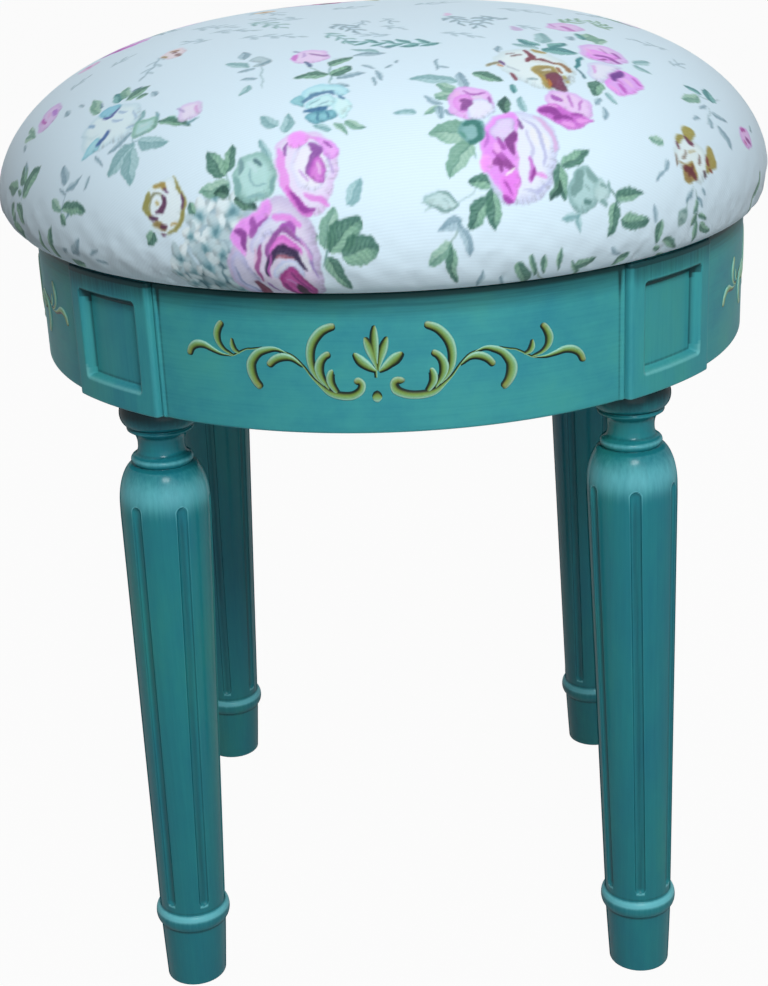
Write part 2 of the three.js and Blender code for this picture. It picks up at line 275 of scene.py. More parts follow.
enamel = {
    "alongMap": False, "blotch": 0.035, "blotchShare": 0.7, "rubbedAndHighlight": "#86cfd0", "rubAndHighlightShare": 0.5,
    "gloss": 0.11, "dullAt": 0.88, "glossLeft": 0.02, "bump": 0.07}
legPaint = brushedEnamel("teal_enamel_on_turned_beech", enamel | {
    "streakWidth": 0.0016, "streakLength": 0.05, "blotch": 0.06, "base": "#23858e",
    "streakDark": "#1e7a86", "streakLight": "#2b9194", "blotchDark": "#1a708a", "blotchLight": "#32948a",
    "rubbedAndHighlight": "#80deea", "rubAndHighlightShare": 0.74, "glazeAndShade": "#08252a", "glazeAndShadeShare": 0.85, "gloss": 0.16,
    "dullAt": 0.8, "glossLeft": 0.0, "roughness": 0.2, "bump": 0.03})
blockPaint = brushedEnamel("teal_enamel_on_beech_blocks", enamel | {
    "streakWidth": 0.0014, "streakLength": 0.035, "base": "#409fa6",
    "streakDark": "#34919b", "streakLight": "#44a9ac", "blotchDark": "#308aa0", "blotchLight": "#48a89f",
    "glazeAndShade": "#102c30", "glazeAndShadeShare": 0.9, "roughness": 0.36})
railPaint = brushedEnamel("teal_enamel_on_beech_rails", enamel | {
    "alongMap": True, "streakWidth": 0.0013, "streakLength": 0.04, "base": "#42a1a6",
    "streakDark": "#36949c", "streakLight": "#46abae", "blotchDark": "#328da1", "blotchLight": "#4caba1",
    "glazeAndShade": "#112b2c", "glazeAndShadeShare": 0.92, "roughness": 0.4})


def ownColour(name, roughness, grain):
    # Enamel painted in several colours by hand: the colour is on the points, and a fine stipple
    # of brush marks breaks it up
    material, tree = newMaterial(name)
    stipple = noise(tree, objectPlace(tree), 1 / grain, 4.0, 0.6)
    own = addNode(tree, "Attribute", attribute_name="paint").outputs["Color"]
    mixed = blend(tree, 0.5, own, ramp(tree, stipple, (0.3, 0.42), (0.62, 0.58)), "OVERLAY")
    closeSurface(tree, mixed, roughness, stipple, 0.3, 0.0003, {"Specular IOR Level": 0.12})
    return material


cloth = {
    "half": 262.0,  # mm, the painted sheet's reach from its middle
    "step": 0.5,  # mm between its points
    "span": 550,  # mm of cloth across the whole map
    "ground": "#d7eefc",
    "twill": 1.4,  # mm between the lines of the weave
    "fleck": 1.1,
    # mm to each repeat of the print, and the free part it may fall on, in x and in y
    "repeats": (((18, 300), (-300, 300), (62, 300)),
                ((212, 150), (112, 300), (12, 75)),
                ((-212, 150), (-300, -105), (12, 75))),
    "repeatReach": 255,  # mm from the middle
}


def printedCotton():
    # Cotton sateen, woven and then printed: a fine diagonal twill, a matt face with some fuzz at
    # grazing angles. A real thread is about 0.3 mm; the twill line is drawn 1.4 mm apart to show.
    material, tree = newMaterial("printed_cotton_sateen")
    flat = addNode(tree, "UVMap", uv_map="cloth").outputs["UV"]
    turned = addNode(tree, "Mapping", {"Vector": flat, "Rotation": (0, 0, math.radians(83))}).outputs[0]
    twill = addNode(tree, "TexWave", {"Vector": turned, "Scale": 0.314 * cloth["span"] / cloth["twill"],
                                      "Distortion": 1.2, "Detail": 2.0, "Detail Scale": 0.6},
                    wave_type="BANDS").outputs["Fac"]
    weave = multiplyAdd(tree, noise(tree, flat, cloth["span"] / cloth["fleck"], 3.0, 0.6), 0.8, twill)
    ink = addNode(tree, "Attribute", attribute_name="print").outputs["Color"]
    woven = blend(tree, 1.0, ink, remap(tree, weave, 0.2, 1.3, 0.972, 1.01), "MULTIPLY")
    closeSurface(tree, woven, 0.88, weave, 0.1, 0.0003,
                 {"IOR": 1.46, "Sheen Weight": 0.12, "Sheen Roughness": 0.5})
    return material


def grainedWood(name, look):
    # Bare wood: long soft grain, short dark pores, and for plywood the plies seen on its edge
    material, tree = newMaterial(name)
    long = objectPlace(tree, look["grain"])
    grain = noise(tree, long, 1.0, 4.0, 0.55)
    tone = ramp(tree, grain, (0.3, look["dark"]), (0.7, look["light"]))
    pores = ramp(tree, noise(tree, long, 5.0, 2.0), (0.3, 0.55), (0.42, 1.0))
    plies = levelBands(tree, objectPlace(tree), look["ply"], 0.4)
    plies = ramp(tree, plies, (0.35, 1 - look["plyShade"]), (0.6, 1.0))
    layered = blend(tree, 1.0, blend(tree, 0.5, tone, pores, "MULTIPLY"), plies, "MULTIPLY")
    closeSurface(tree, layered, 0.62, grain, 0.2, 0.0003)
    return material


def zincPlate(name, pitch):
    # Zinc-plated steel: a metal with fine scuffs, rolled threads where it has a pitch
    material, tree = newMaterial(name)
    place = objectPlace(tree)
    tone = ramp(tree, noise(tree, place, 220.0, 2.0), (0.35, "#a9adb3"), (0.65, "#c6c9cc"))
    shine = remap(tree, noise(tree, place, 1400.0, 3.0), 0.3, 0.7, 0.26, 0.44)
    closeSurface(tree, tone, shine, levelBands(tree, place, pitch), 0.8, 0.0004, {"Metallic": 1.0})
    return material


def finePlain(name, look):
    # A plain dull stuff of two close tones: point-bonded cells of the real size, matt
    material, tree = newMaterial(name)
    place = objectPlace(tree)
    cells = addNode(tree, "TexVoronoi", {"Vector": place, "Scale": 1 / look["cell"]}).outputs["Distance"]
    both = multiplyAdd(tree, noise(tree, place, 4 / look["cell"], 4.0), 0.6, cells)
    tone = ramp(tree, both, (0.3, look["dark"]), (0.8, look["light"]))
    closeSurface(tree, tone, look["roughness"], both, look["bump"], 0.0003)
    return material


def dressNode(name, material):
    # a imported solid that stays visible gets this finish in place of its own
    node = nodes[name]
    node.data.materials.clear()
    node.data.materials.append(material)


cotton = printedCotton()
birch = grainedWood("birch_plywood", {"grain": (18, 260, 260), "ply": 0.0015, "plyShade": 0.35,
                                      "dark": "#b8935f", "light": "#dcbf92"})
beech = grainedWood("bare_beech", {"grain": (260, 260, 60), "ply": 0.0021, "plyShade": 0.06,
                                   "dark": "#b98a5c", "light": "#d8b084"})
threadedZinc = zincPlate("zinc_plated_steel_threaded", 0.00125)
smoothZinc = zincPlate("zinc_plated_steel_screws", 0.0018)
lining = finePlain("black_spunbond_lining", {"cell": 0.0011, "dark": "#131315", "light": "#2c2c2f",
                                             "bump": 0.5, "roughness": 0.95})
nylon = finePlain("moulded_brown_nylon", {"cell": 0.0006, "dark": "#2f2a26", "light": "#4a433d",
                                          "bump": 0.12, "roughness": 0.5})
scrollPaint = ownColour("hand_painted_green_relief", 0.42, 0.0009)
dressNode("seat_board", birch)
dressNode("dust_cover", lining)
for corner in corners:
    dressNode("hanger_bolt_" + corner, threadedZinc)
    dressNode("threaded_insert_" + corner, threadedZinc)
    dressNode("seat_screw_" + corner, smoothZinc)
    dressNode("foot_glide_" + corner, nylon)
    for end in ("a_lower", "a_upper", "b_lower", "b_upper"):
        dressNode("dowel_" + corner + "_" + end, beech)


# Printed cotton: a chintz of cottage roses, leaves and sprigs, painted on a flat sheet that is
# then wrapped over the seat. Millimetres on the sheet: x to the right, y to the back, 0 at the top.
# In the lists below, items are parted by semicolons.

leafTones = {  # light half, dark half, midrib
    "g": ("#8dbda2", "#38695c", "#24504a"),
    "f": ("#a3cab8", "#6b9d8a", "#47796e"),
    "d": ("#5c8a74", "#1b423d", "#143833"),
    "p": ("#a9d0d6", "#7aa8ae", "#5f939a"),
    "b": ("#a6c6d3", "#6d90a2", "#54788b"),
    "t": ("#7db7b5", "#367a7f", "#205f66"),
    "s": ("#b3d0dc", "#88aabb", "#749aac"),
}
leafStrength = {"s": 0.62, "b": 0.85}

# leaves and leaflets: base x y, tip x y, width, tone
leaves = """
-67 -178 -74 -162 8.5 g; -66 -177 -63 -162 5.5 g; -66 -182 -80 -181 8 f; -66 -186 -73 -184 5.5 d;
-64 -190 -54 -197 6 d; -107 -188 -114 -190 7 g; -84 -190 -86 -183 3.5 g; -25 -219 -19 -202 8.5 f;
-23 -220 -7 -208 12.5 g; -17 -223 1 -220 13.5 g; -25 -222 -18 -240 7.5 g; -13 -202 -7 -191 6.5 p;
-42 -158 -50 -149 5.5 p; -39 -162 -37 -151 5.5 p; -46 -176 -50 -163 4 p; -28 -213 -31 -214 5 g;
-17 -160 -12 -168 3.5 f; -13 -160 -4 -165 4 f; -19 -164 -27 -160 4 p; -20 -132 -10 -134 4 b;
-14 -155 -12 -150 2.4 d; -20 -122 -35 -122 6.5 g; -19 -124 -10 -115 6.5 g; -20 -113 -9 -105 5.5 g;
-17 -126 -4 -123 5 b; -9 -103 6 -102 5 b; 1 -121 4 -131 2.8 b; -5 -115 1 -119 2.2 b; 0 -128 0 -135 2 b;
10 -111 10 -115 1.5 b; 8 -116 5 -120 2 b; 28 -109 28 -122 2 b; 28 -118 33 -118 2 b; 3 -100 -10 -95 4 p;
-59 -92 -60 -81 5.5 b; -56 -103 -67 -94 5.5 p; -53 -106 -61 -107 3.4 b; -52 -117 -60 -116 2.8 b;
-55 -122 -59 -130 4.6 p; -129 -98 -133 -84 5.5 f; -129 -101 -133 -92 5 f; -118 -100 -121 -90 6 t;
-115 -99 -115 -88 6 f; -114 -102 -103 -95 6.5 g; -109 -104 -104 -104 4 g; -111 -131 -124 -136 4.4 b;
-110 -139 -125 -150 9.5 p; -111 -142 -114 -161 9.5 p; -108 -139 -93 -148 8 p; -112 -127 -104 -118 5.5 p;
-131 -132 -128 -142 2 b; -135 -141 -141 -146 2 b; -97 -131 -82 -142 5 g; -102 -103 -99 -109 3 b;
-150 -134 -150 -123 6 b; -152 -138 -140 -138 3.6 b; -155 -133 -153 -140 2 b; -158 -143 -163 -133 4.4 f;
-157 -143 -143 -156 6.5 g; -160 -144 -158 -152 3.6 g; -186 -98 -196 -83 6.5 g; -180 -104 -178 -91 7.5 g;
-184 -108 -165 -107 9 g; -178 -99 -176 -90 2.8 b; -187 -99 -185 -105 3 g; -191 -104 -192 -118 7 g;
-202 -98 -194 -99 4.5 g; -207 -102 -199 -115 8.5 g; -203 -101 -196 -103 4 g; -178 -66 -169 -77 5 f;
-174 -60 -171 -70 4 f; -178 -72 -177 -80 2.6 b; -149 -77 -147 -85 3.4 b; -141 -80 -139 -86 2.4 b;
-193 -139 -182 -133 4 g; -188 -147 -170 -142 5.5 g; -167 -162 -154 -163 5.5 b; -181 -160 -167 -168 5.5 g;
-154 -172 -146 -174 2 b; -153 -176 -148 -182 2.4 b; -174 -156 -168 -157 2.6 b; 46 -167 23 -168 14 f;
42 -171 32 -190 9.5 f; 51 -190 41 -191 7.5 g; 50 -196 43 -212 8.5 g; 52 -192 55 -210 7.5 g;
47 -172 48 -178 3 p; 39 -208 28 -213 5.5 b; 37 -209 45 -222 5 b; 35 -217 24 -228 6.5 f;
35 -219 38 -237 5.5 g; 83 -174 95 -161 6.5 g; 81 -174 86 -189 7.5 g; 83 -181 79 -192 4.4 d;
95 -192 86 -198 3 p; 94 -193 98 -200 3 p; 112 -178 126 -169 6 g; 118 -186 134 -178 7.5 g;
112 -180 114 -195 6.5 g; 57 -152 57 -140 5.5 d; 65 -149 64 -138 4.5 p; 43 -123 57 -128 7.5 g;
61 -129 61 -137 3.6 t; 39 -137 37 -123 5.5 b; 36 -131 15 -130 7.5 p; 36 -141 26 -145 8 f;
36 -138 27 -135 7 f; 29 -150 21 -144 3.4 b; 28 -151 21 -157 3.8 f; 28 -151 28 -159 4.4 b;
31 -153 35 -157 3 b; 18 -156 8 -156 4 p; 101 -112 98 -125 7.5 g; 104 -120 109 -126 4 p;
102 -131 103 -141 3 b; 101 -126 98 -132 3 b; 133 -136 125 -140 4.5 f; 137 -145 135 -152 3.4 b;
135 -152 131 -160 2.2 b; 76 -89 93 -85 9 t; 77 -79 77 -61 8 p; 79 -83 88 -73 6 t; 75 -83 65 -76 6 t;
75 -87 62 -85 5 p; 99 -63 101 -49 9 f; 97 -63 95 -53 5 t; 103 -65 108 -54 6.5 f; 90 -67 92 -60 4.6 b;
120 -81 129 -71 4.6 p; 119 -83 128 -86 4.6 p; 56 -89 56 -98 3.4 b; 163 -80 158 -70 7 t;
155 -80 146 -81 4.6 t; 154 -84 143 -97 5.4 f; 161 -91 171 -87 4.4 b; 165 -98 176 -104 5.4 b;
160 -97 160 -105 3.4 b; 158 -88 154 -96 2.4 b; 154 -103 149 -108 2 b; 165 -154 173 -151 3 g;
171 -156 183 -151 5 g; 163 -155 166 -162 3.6 g; 167 -157 175 -166 3.6 g; 160 -149 161 -157 3.2 g;
159 -150 166 -150 3 b; 154 -149 153 -157 3 b; 160 -143 164 -145 3 b; 141 -173 147 -183 5.5 g;
149 -179 165 -176 5 g; 146 -186 152 -184 4 g; 156 -187 162 -184 4 g; 127 -207 133 -196 5 g;
119 -199 127 -199 3 b; 69 -221 80 -236 7.5 g; 76 -216 80 -227 4 g; 82 -214 86 -224 3.4 g;
90 -209 93 -221 3 g; 101 -215 113 -207 6 g; 98 -213 110 -223 3 g; 62 -230 66 -238 3 b; 52 -228 50 -240 3 b;
207 -79 213 -93 4.5 g; 211 -91 215 -105 4.5 g; 190 -68 191 -62 2.6 b; 139 -176 133 -170 3 b
"""

# brush lines: colour, width, points
lines = """
#6f9a9c 0.8 -19 -131 -19 -122 -20 -109; #7ba3a0 0.7 -30 -110 -25 -117 -20 -123;
#8cb0b8 0.7 -50 -104 -50 -113 -49 -127; #9fbcc4 0.6 -19 -106 -10 -104 -2 -101;
#4e7d78 0.9 -27 -226 -25 -221 -21 -217; #6f9a90 0.7 -66 -190 -66 -180 -67 -172;
#4f8377 0.8 44 -180 41 -172 46 -166; #3f7468 0.9 52 -188 51 -193 50 -198;
#3f7468 0.8 52 -188 52 -193 53 -199; #a6c3c6 0.7 36 -201 42 -197 47 -190;
#8aa9a4 0.8 39 -207 35 -216 34 -222; #3f6b60 1.1 106 -174 110 -177 115 -180;
#3f6b60 1.0 112 -178 113 -183 114 -188; #5b8478 0.8 80 -173 83 -175 83 -182;
#4d7069 0.9 157 -147 163 -154 172 -163; #7f9f9b 0.8 155 -147 154 -155 155 -160;
#88a8b0 0.7 160 -88 159 -98 158 -104; #88a8b0 0.7 152 -84 160 -79 168 -70;
#5f7d6c 0.9 75 -217 84 -227 94 -232; #7aa2a8 0.7 -110 -134 -111 -141 -112 -147;
#7f9fae 0.7 -152 -139 -156 -142 -160 -145; #7d9ea6 0.7 -186 -108 -182 -102 -180 -96;
#6e99a2 0.8 -100 -140 -110 -138 -118 -137; #ead2f2 3.4 35 -15 35 -26; #cdbfe4 5 65 -52 67 -60;
#7f9fae 1.8 2 -91 6 -94 10 -92; #2e7278 2.2 94 -89 92 -97 91 -104; #58808c 1.8 91 -104 93 -108 94 -112;
#2c5a5c 1.6 -97 -131 -90 -137 -83 -142; #7fc0b0 3 -93 -131 -87 -137;
#3a4a70 2.6 -129 -126 -125 -124 -122 -120; #54889c 1.8 -138 -112 -134 -118 -129 -119;
#86aeb8 1.8 -99 -123 -98 -130 -101 -135; #54748c 1.4 -112 -95 -107 -94; #54748c 2 -129 -92 -127 -97;
#6a90a0 1.2 -158 -150 -150 -148 -144 -153
"""

# sprigs, a stem with leaves on alternate sides: base x y, tip x y, leaves, leaf length, tone
sprigs = """
30 -88 -9 -82 10 11 t; -63 -12 -44 -40 7 11 p; -92 -2 -70 -20 6 11 s; -34 -14 -60 2 6 11 s;
-64 -54 -33 -67 7 9 s; -80 -28 -56 -40 5 9 s; -21 -40 -9 -63 8 10 b; -6 -32 -9 -50 4 8 s;
34 -26 40 -50 6 11 b; 51 -24 46 -58 8 10 b; 64 -30 50 -34 4 8 b; 4 -28 7 -46 4 8 s; 90 -32 104 -14 6 10 f;
113 -30 110 -12 6 10 f; 142 -34 120 -40 5 7 s; -128 -44 -118 -36 4 7 s; -78 -46 -92 -37 4 8 s;
-102 -58 -109 -84 6 8 s; 30 -70 48 -77 5 8 s; 60 2 84 -8 6 10 s; -68 38 -48 8 7 11 s;
-24 -62 -11 -86 7 8 p; 142 -62 149 -50 4 7 s; 20 22 40 34 6 10 s; 2 -52 14 -62 4 7 s;
-150 -50 -140 -42 4 7 s; 66 -48 76 -56 4 7 s; -22 16 -4 26 5 10 s; 8 -72 -8 -68 4 8 s;
100 8 126 20 6 10 s; -98 14 -122 30 6 11 s
"""

# flowers: each is one group of petals and lines. A petal is its rim colour, inner colour, depth and
# outline, a line its colour, width and points.
flowers = [
    # large pink rose near the front
    """#c9bfe0 #e3dcf3 7 -77 -219 -73 -211 -67 -206 -64 -201 -58 -199 -50 -194 -42 -194 -35 -199 -30 -207
    -28 -218 -29 -230 -34 -241 -45 -247 -60 -245 -72 -239 -78 -229;
    #bfc3e8 #dadcf4 4 -76 -222 -71 -212 -66 -213 -63 -222 -65 -232 -73 -234;
    #f1acfd #eaa0f6 2 -69 -203 -63 -199 -60 -199 -58 -203 -62 -208 -65 -214 -68 -209;
    #f1acfd #e39df2 3 -60 -200 -54 -197 -49 -193 -47 -199 -55 -204 -61 -206;
    #8d4c9a 3 -67 -202 -63 -206 -64 -212; #a25fb0 3.4 -57 -200 -57 -204 -60 -207;
    #a25fb0 2.2 -57 -204 -50 -202;
    #cdd0f2 #e2e6fb 3 -59 -208 -52 -203 -43 -200 -37 -205 -43 -209 -52 -209 -57 -215 -61 -213;
    #ee9ff2 3.4 -48 -202 -42 -203 -35 -208; #a95cb8 2.4 -45 -206 -40 -207 -38 -210;
    #d670d0 #e791e4 3 -54 -222 -51 -213 -46 -210 -40 -213 -36 -220 -41 -217 -47 -216 -52 -220;
    #94569f 2.6 -55 -224 -53 -215 -49 -210 -44 -208 -39 -211 -35 -217;
    #2e2544 3.8 -57 -226 -54 -220 -49 -216.6 -45 -216 -40 -219 -36 -227;
    #8a4a5c 1.2 -50 -219 -45 -218.6 -40 -221;
    #c3d3f4 #e4ecfb 2 -54 -227 -50 -222 -45 -220 -39 -223 -38 -229 -41 -226 -45 -224 -51 -227;
    #9c5793 2.4 -55 -212 -59 -218 -62 -227; #ecd2f0 1.6 -58 -212 -61 -219;
    #c976c8 1.5 -56 -227 -54 -221 -51 -216; #643c55 #70324c 2 -71 -238 -67 -227 -63 -230 -66 -239;
    #93337a #c85fae 4 -53 -229 -48 -225 -43 -224 -39 -229 -37 -238 -42 -246 -50 -244 -53 -236;
    #7a3474 2 -52 -230 -51 -238 -50 -244; #d99ad8 2 -49 -229 -46 -233 -47 -240;
    #8c3f86 1.8 -44 -226 -42 -233 -40 -241;
    #2c1230 #231026 2 -47 -235 -44 -233 -42 -238 -43 -246 -48 -245;
    #a594cc 1.6 -38 -211 -33 -219 -32 -231; #e2b3e8 1.3 -36 -213 -32 -223;
    #eef2fd 2.6 -36 -219 -34 -228; #9aa8d0 1.4 -70 -236 -73 -226 -72 -217;
    #8f6fb0 1.4 -60 -228 -58 -236""",
    # second pink rose above it
    """#e0cdf2 #e9e2fa 5 -44 -176 -43 -168 -38 -164 -30 -163 -22 -167 -17 -174 -16 -184 -19 -194 -24 -203
    -30 -205 -38 -198 -42 -190 -44 -183; #f0a9f6 4 -42 -170 -41 -180 -40 -190 -37 -197;
    #f3aefb #efa4f8 2 -38 -165 -32 -163 -28 -166 -31 -171 -37 -171; #8f5fa8 1.6 -38 -169 -40 -175;
    #9d6ab2 1.8 -32 -171 -36 -180;
    #dfe3fb #eef1fd 3 -37 -178 -33 -172 -27 -170 -22 -173 -20 -181 -22 -190 -28 -194 -35 -190;
    #e19df0 #e9b2f5 2 -27 -168 -21 -169 -16 -175 -18 -180 -22 -178 -24 -172;
    #8d58a4 4.6 -29 -171 -25 -175 -28 -181 -29 -187;
    #b263bd #d284d8 2 -28 -180 -24 -178 -22 -185 -23 -191 -29 -188; #f0d6fa 1.2 -26 -181 -24 -187;
    #9a5aae 1.6 -22 -170 -19 -175; #eab0f4 2 -30 -166 -25 -169; #dc84dc 4 -39 -190 -36 -198 -29 -205;
    #94489f 2.6 -38 -192 -34 -200 -28 -203; #e79ceb 3 -32 -195 -26 -198 -21 -201;
    #c9a6e2 1.2 -33 -183 -30 -190; #b9a2dc 1 -20 -178 -19 -188""",
    # white rose outlined in gold
    """#d8edf4 #e8f6fb 3 -109 -178 -106 -169 -99 -167 -92 -169 -88 -178 -90 -188 -97 -193 -104 -191 -108
    -185; #8f8a4c 2 -92 -168 -89 -177 -88.5 -183 -91 -188 -96 -192 -101 -191;
    #5c3a60 1.3 -89 -178 -89.5 -185; #8f8d50 3.6 -105 -170 -108 -175 -107 -181;
    #4b2a4a 2.2 -108 -180 -104 -184; #75785a 1.1 -106 -178 -105 -173 -102 -171.6 -99.6 -173 -99 -178;
    #4a2646 #532a48 2 -104 -180 -101 -182.5 -98 -181 -97.3 -177 -99 -174 -100 -179;
    #a08c4a 2.4 -102 -168.6 -98 -169 -96 -173; #5c3a60 1.4 -97 -171.5 -95.4 -175;
    #b3a56a 1.1 -103 -175 -101 -178; #8a7a4a 2.6 -107 -184 -103 -187 -100 -189;
    #55304c 1.8 -103 -187 -99.5 -188.6; #55304c 1.2 -103.5 -190 -101.5 -191.5;
    #b49c62 1.2 -94 -190 -98 -189""",
    # grey-green rose
    """#8db6b1 #b4dad8 5 -64 -183 -62 -175 -57 -170 -50 -171 -45 -176 -44 -186 -47 -192 -56 -194 -62 -190;
    #7c9fa5 2.2 -59 -171 -60 -179; #55777f 2.2 -53 -174 -50 -177; #86b0b0 3.2 -62 -179 -62 -189;
    #7fa8aa 1.6 -47 -191 -45 -184; #8fb8bc 1.6 -58 -190 -50 -192;
    #94bcc2 1.2 -56 -178 -54 -186 -48 -187; #cdebef 2 -56 -174 -53 -180""",
    # blue flower
    """#a9dcea #c2ebf4 3 -33 -140 -29 -133 -22 -131 -15 -133 -11 -138 -14 -142 -20 -138 -27 -140 -31 -145;
    #7fb6c4 #94c9d2 2 -36 -141 -33 -138 -30 -143 -31 -147 -35 -145;
    #5f86a6 2.4 -31 -145 -27 -139.6 -20 -138 -17 -141;
    #a9dbe4 #cdf1f6 2 -30 -147 -26 -141.6 -20 -140 -17 -144 -19 -149 -27 -150;
    #3f6c92 3.2 -31 -150 -25 -151 -20 -149;
    #5e97a8 #86bfcb 3 -29 -153 -21 -151 -16 -153 -18 -158 -25 -159.6 -29 -157;
    #3f6f8c 1 -25 -152 -24 -158; #3f6f8c 1 -21 -152 -20 -157;
    #c3ecf3 #d8f6fa 2 -16 -142 -11 -146 -10 -152 -14 -158 -18 -150; #5f86a6 1.6 -15 -141 -12.6 -145;
    #7fb0bc 1 -28 -146 -24 -143; #8fb9c6 1 -24 -148 -20 -145""",
    # large rose on the right
    """#cfd6f1 #e6ecfb 6 46 -178 46 -165 50 -156 58 -151 68 -149 77 -153 81 -163 80 -175 78 -187 70 -195
    58 -198 50 -190;
    #eaa8f6 #e297f0 3 47 -185 46 -172 48 -161 53 -154 60 -150 63 -156 62 -166 63 -178 64 -190 60 -197
    53 -191 49 -186; #ccc4ea #e0dcf6 2 50 -163 54 -156 60 -155 61 -162 57 -168 52 -168;
    #7f4387 4.4 61 -162 59 -168 60 -174; #8d4c93 4.8 51 -181 56 -179 61 -181;
    #8d4c93 2 54 -176 55 -184; #a55bb0 2.6 54 -167 56 -173; #b268bd 3 52 -174 57 -178;
    #f5bdfb 2.6 52 -170 54 -175; #c583d8 1.6 49 -164 48 -174; #b968c4 2.2 56 -187 61 -184 64 -187;
    #b968c4 1.8 57 -191 62 -188; #ec9cf2 #e590ee 2 55 -187 62 -183 64 -190 61 -197 57 -195;
    #a04fa8 2.8 57 -195 61 -196.4; #a04fa8 1.2 57 -188 61 -193;
    #f3b3f9 #eda6f6 2 46 -178 50 -177 51 -184 48 -186 46 -182;
    #c3c8ea 2 64 -153 70 -157 74 -166 75 -177; #cdd0ee 1.6 66 -160 69 -170 69 -178;
    #dfc0ea 2.4 69 -150 77 -157 80 -168; #cd86d9 2.8 68 -174 69.6 -181 69 -186;
    #e9a8ee 2.4 70 -181 76 -182; #8f4496 1.5 70 -178 70 -185; #7f5a96 1.5 62 -154 64.6 -160;
    #bfc6e8 1.4 66 -190 73 -189 78 -182; #f4f8fe 3 68 -158 72 -168; #f4f8fe 2.4 73 -159 77 -168;
    #ffffff 1.4 57 -185 62 -181""",
    # small pink rose
    """#e2aeef #e8c2f4 3 32 -150 33 -141 38 -136 46 -136 51 -141 52 -149 46 -157 38 -158 33 -155;
    #d0daf5 #e8effc 2 42 -146 50 -144 52 -152 46 -158 40 -156;
    #dc95e6 #e4a8ee 2 34 -150 36 -143 41 -141 42 -148 38 -155; #8a5596 4.2 38 -145 40.5 -148 37.5 -153;
    #aa68bb 1.8 39 -139 44 -141 48 -139; #a06ab0 1.4 50 -141 51 -146; #f2c8f8 2 34 -144 37 -140;
    #e9dff8 2.4 43 -143 47 -143""",
    # pink rose with a dark foot
    """#dcb6ee #eacff6 3 76 -140 76 -132 81 -128 88 -128 95 -131 97 -139 92 -144 84 -142;
    #a865ba 3.4 78 -133 82 -136; #c48bd4 1.8 86 -130 87 -138; #c48bd4 1.6 92 -131 90 -140;
    #f1dcf9 2 83 -131 84 -137;
    #cf7fd6 #c36ccb 3 71 -146 74 -141 80 -139 88 -142 97 -143 93 -148 89 -152 84 -153.6 78 -150.6 73
    -149; #8f4599 5.2 73 -146 77 -144 81 -146; #8f4599 2.8 79 -149 83 -146 87 -147;
    #f2b4f9 3 83 -151 88 -150; #f2b4f9 2.2 89 -147 95 -144; #a154ac 2 87 -144 92 -142;
    #f0b8f6 1.6 76 -141 81 -141""",
    # gold and brown rose
    """#d4e7ee #e6f4f7 6 55 -100 62 -92 72 -90 84 -97 90 -108 88 -120 80 -129 68 -128 58 -119 53 -109;
    #6d3040 3.4 68 -92 70.6 -99 68 -106; #7a4a50 2.6 70 -103 76 -101 81 -104;
    #a5955a 3 71 -90 77 -92.5; #8b6a4a 3 80 -103 85 -104 87.5 -110;
    #9e8f52 #8d8050 3 70 -113 72 -108 79 -106.6 82 -111 81 -122 77 -129 73 -120;
    #e6eff0 2.4 70 -105 78 -103; #e6eff0 1.8 74 -113 79 -110;
    #5c2f4a #6a3450 2 76 -122 77 -115 81 -112 84 -118 85 -127 79 -127; #b59a56 1.4 73 -116 77 -124;
    #c4853c 1.2 77 -119 78 -127; #7a6a6e 1.6 61 -102 66 -98; #7a6a6e 1.2 63 -97 59 -99;
    #8d8a70 2.6 50 -115 53 -111 57 -109.6; #5c3a78 2.2 56 -108 57.4 -111.6;
    #c0703c 1.4 54.6 -112.6 56.6 -113.4; #743848 2.4 61 -120 62 -125; #93b0b8 2 68 -123 72 -122;
    #a5a06c 2.6 84 -114 86 -120; #8a5a3c 2 82 -107 84 -112; #b7c9d4 1.4 58 -112 64 -117;
    #a8b4bc 1.3 84 -120 88 -113""",
    # pink rose and magenta rose at the right
    """#dcb8f0 #e7ccf7 4 94 -82 95 -73 100 -68 108 -67 114 -72 117 -80 112 -87 103 -90 96 -88;
    #ea9ff4 #e8aef4 3 97 -85 99 -77 106 -76 112 -79 110 -84 103 -88;
    #a05eb4 2.8 100 -83 106 -82 113 -85; #a05eb4 2.8 110 -74 113 -79; #94509c 1.8 103 -88 106 -85;
    #f4c6fa 2 98 -75 99 -83; #c78ad8 1.8 104 -72 107 -77; #8f4f9c 1.4 108 -84 114 -86""",
    """#d3d8f4 #e9ecfc 4 96 -104 98 -94 105 -90 113 -91 109 -100 104 -111 98 -111;
    #e79cf2 #e2aef4 3 107 -101 112 -94 118 -95 123 -101 120 -109 114 -116 108 -118 104 -112;
    #663a88 4 113.6 -95 109.6 -101 108 -106; #f3cffb 2.4 113 -101 118 -107;
    #c066ca 2.4 110 -108 114 -114; #c066ca 1.8 118 -98 121 -103; #f6b8fa 2.6 106 -112 110 -116;
    #d590de 1.6 110 -104 113 -108; #e2b4ee 1.6 100 -96 99 -104""",
    # gold blossoms at the right
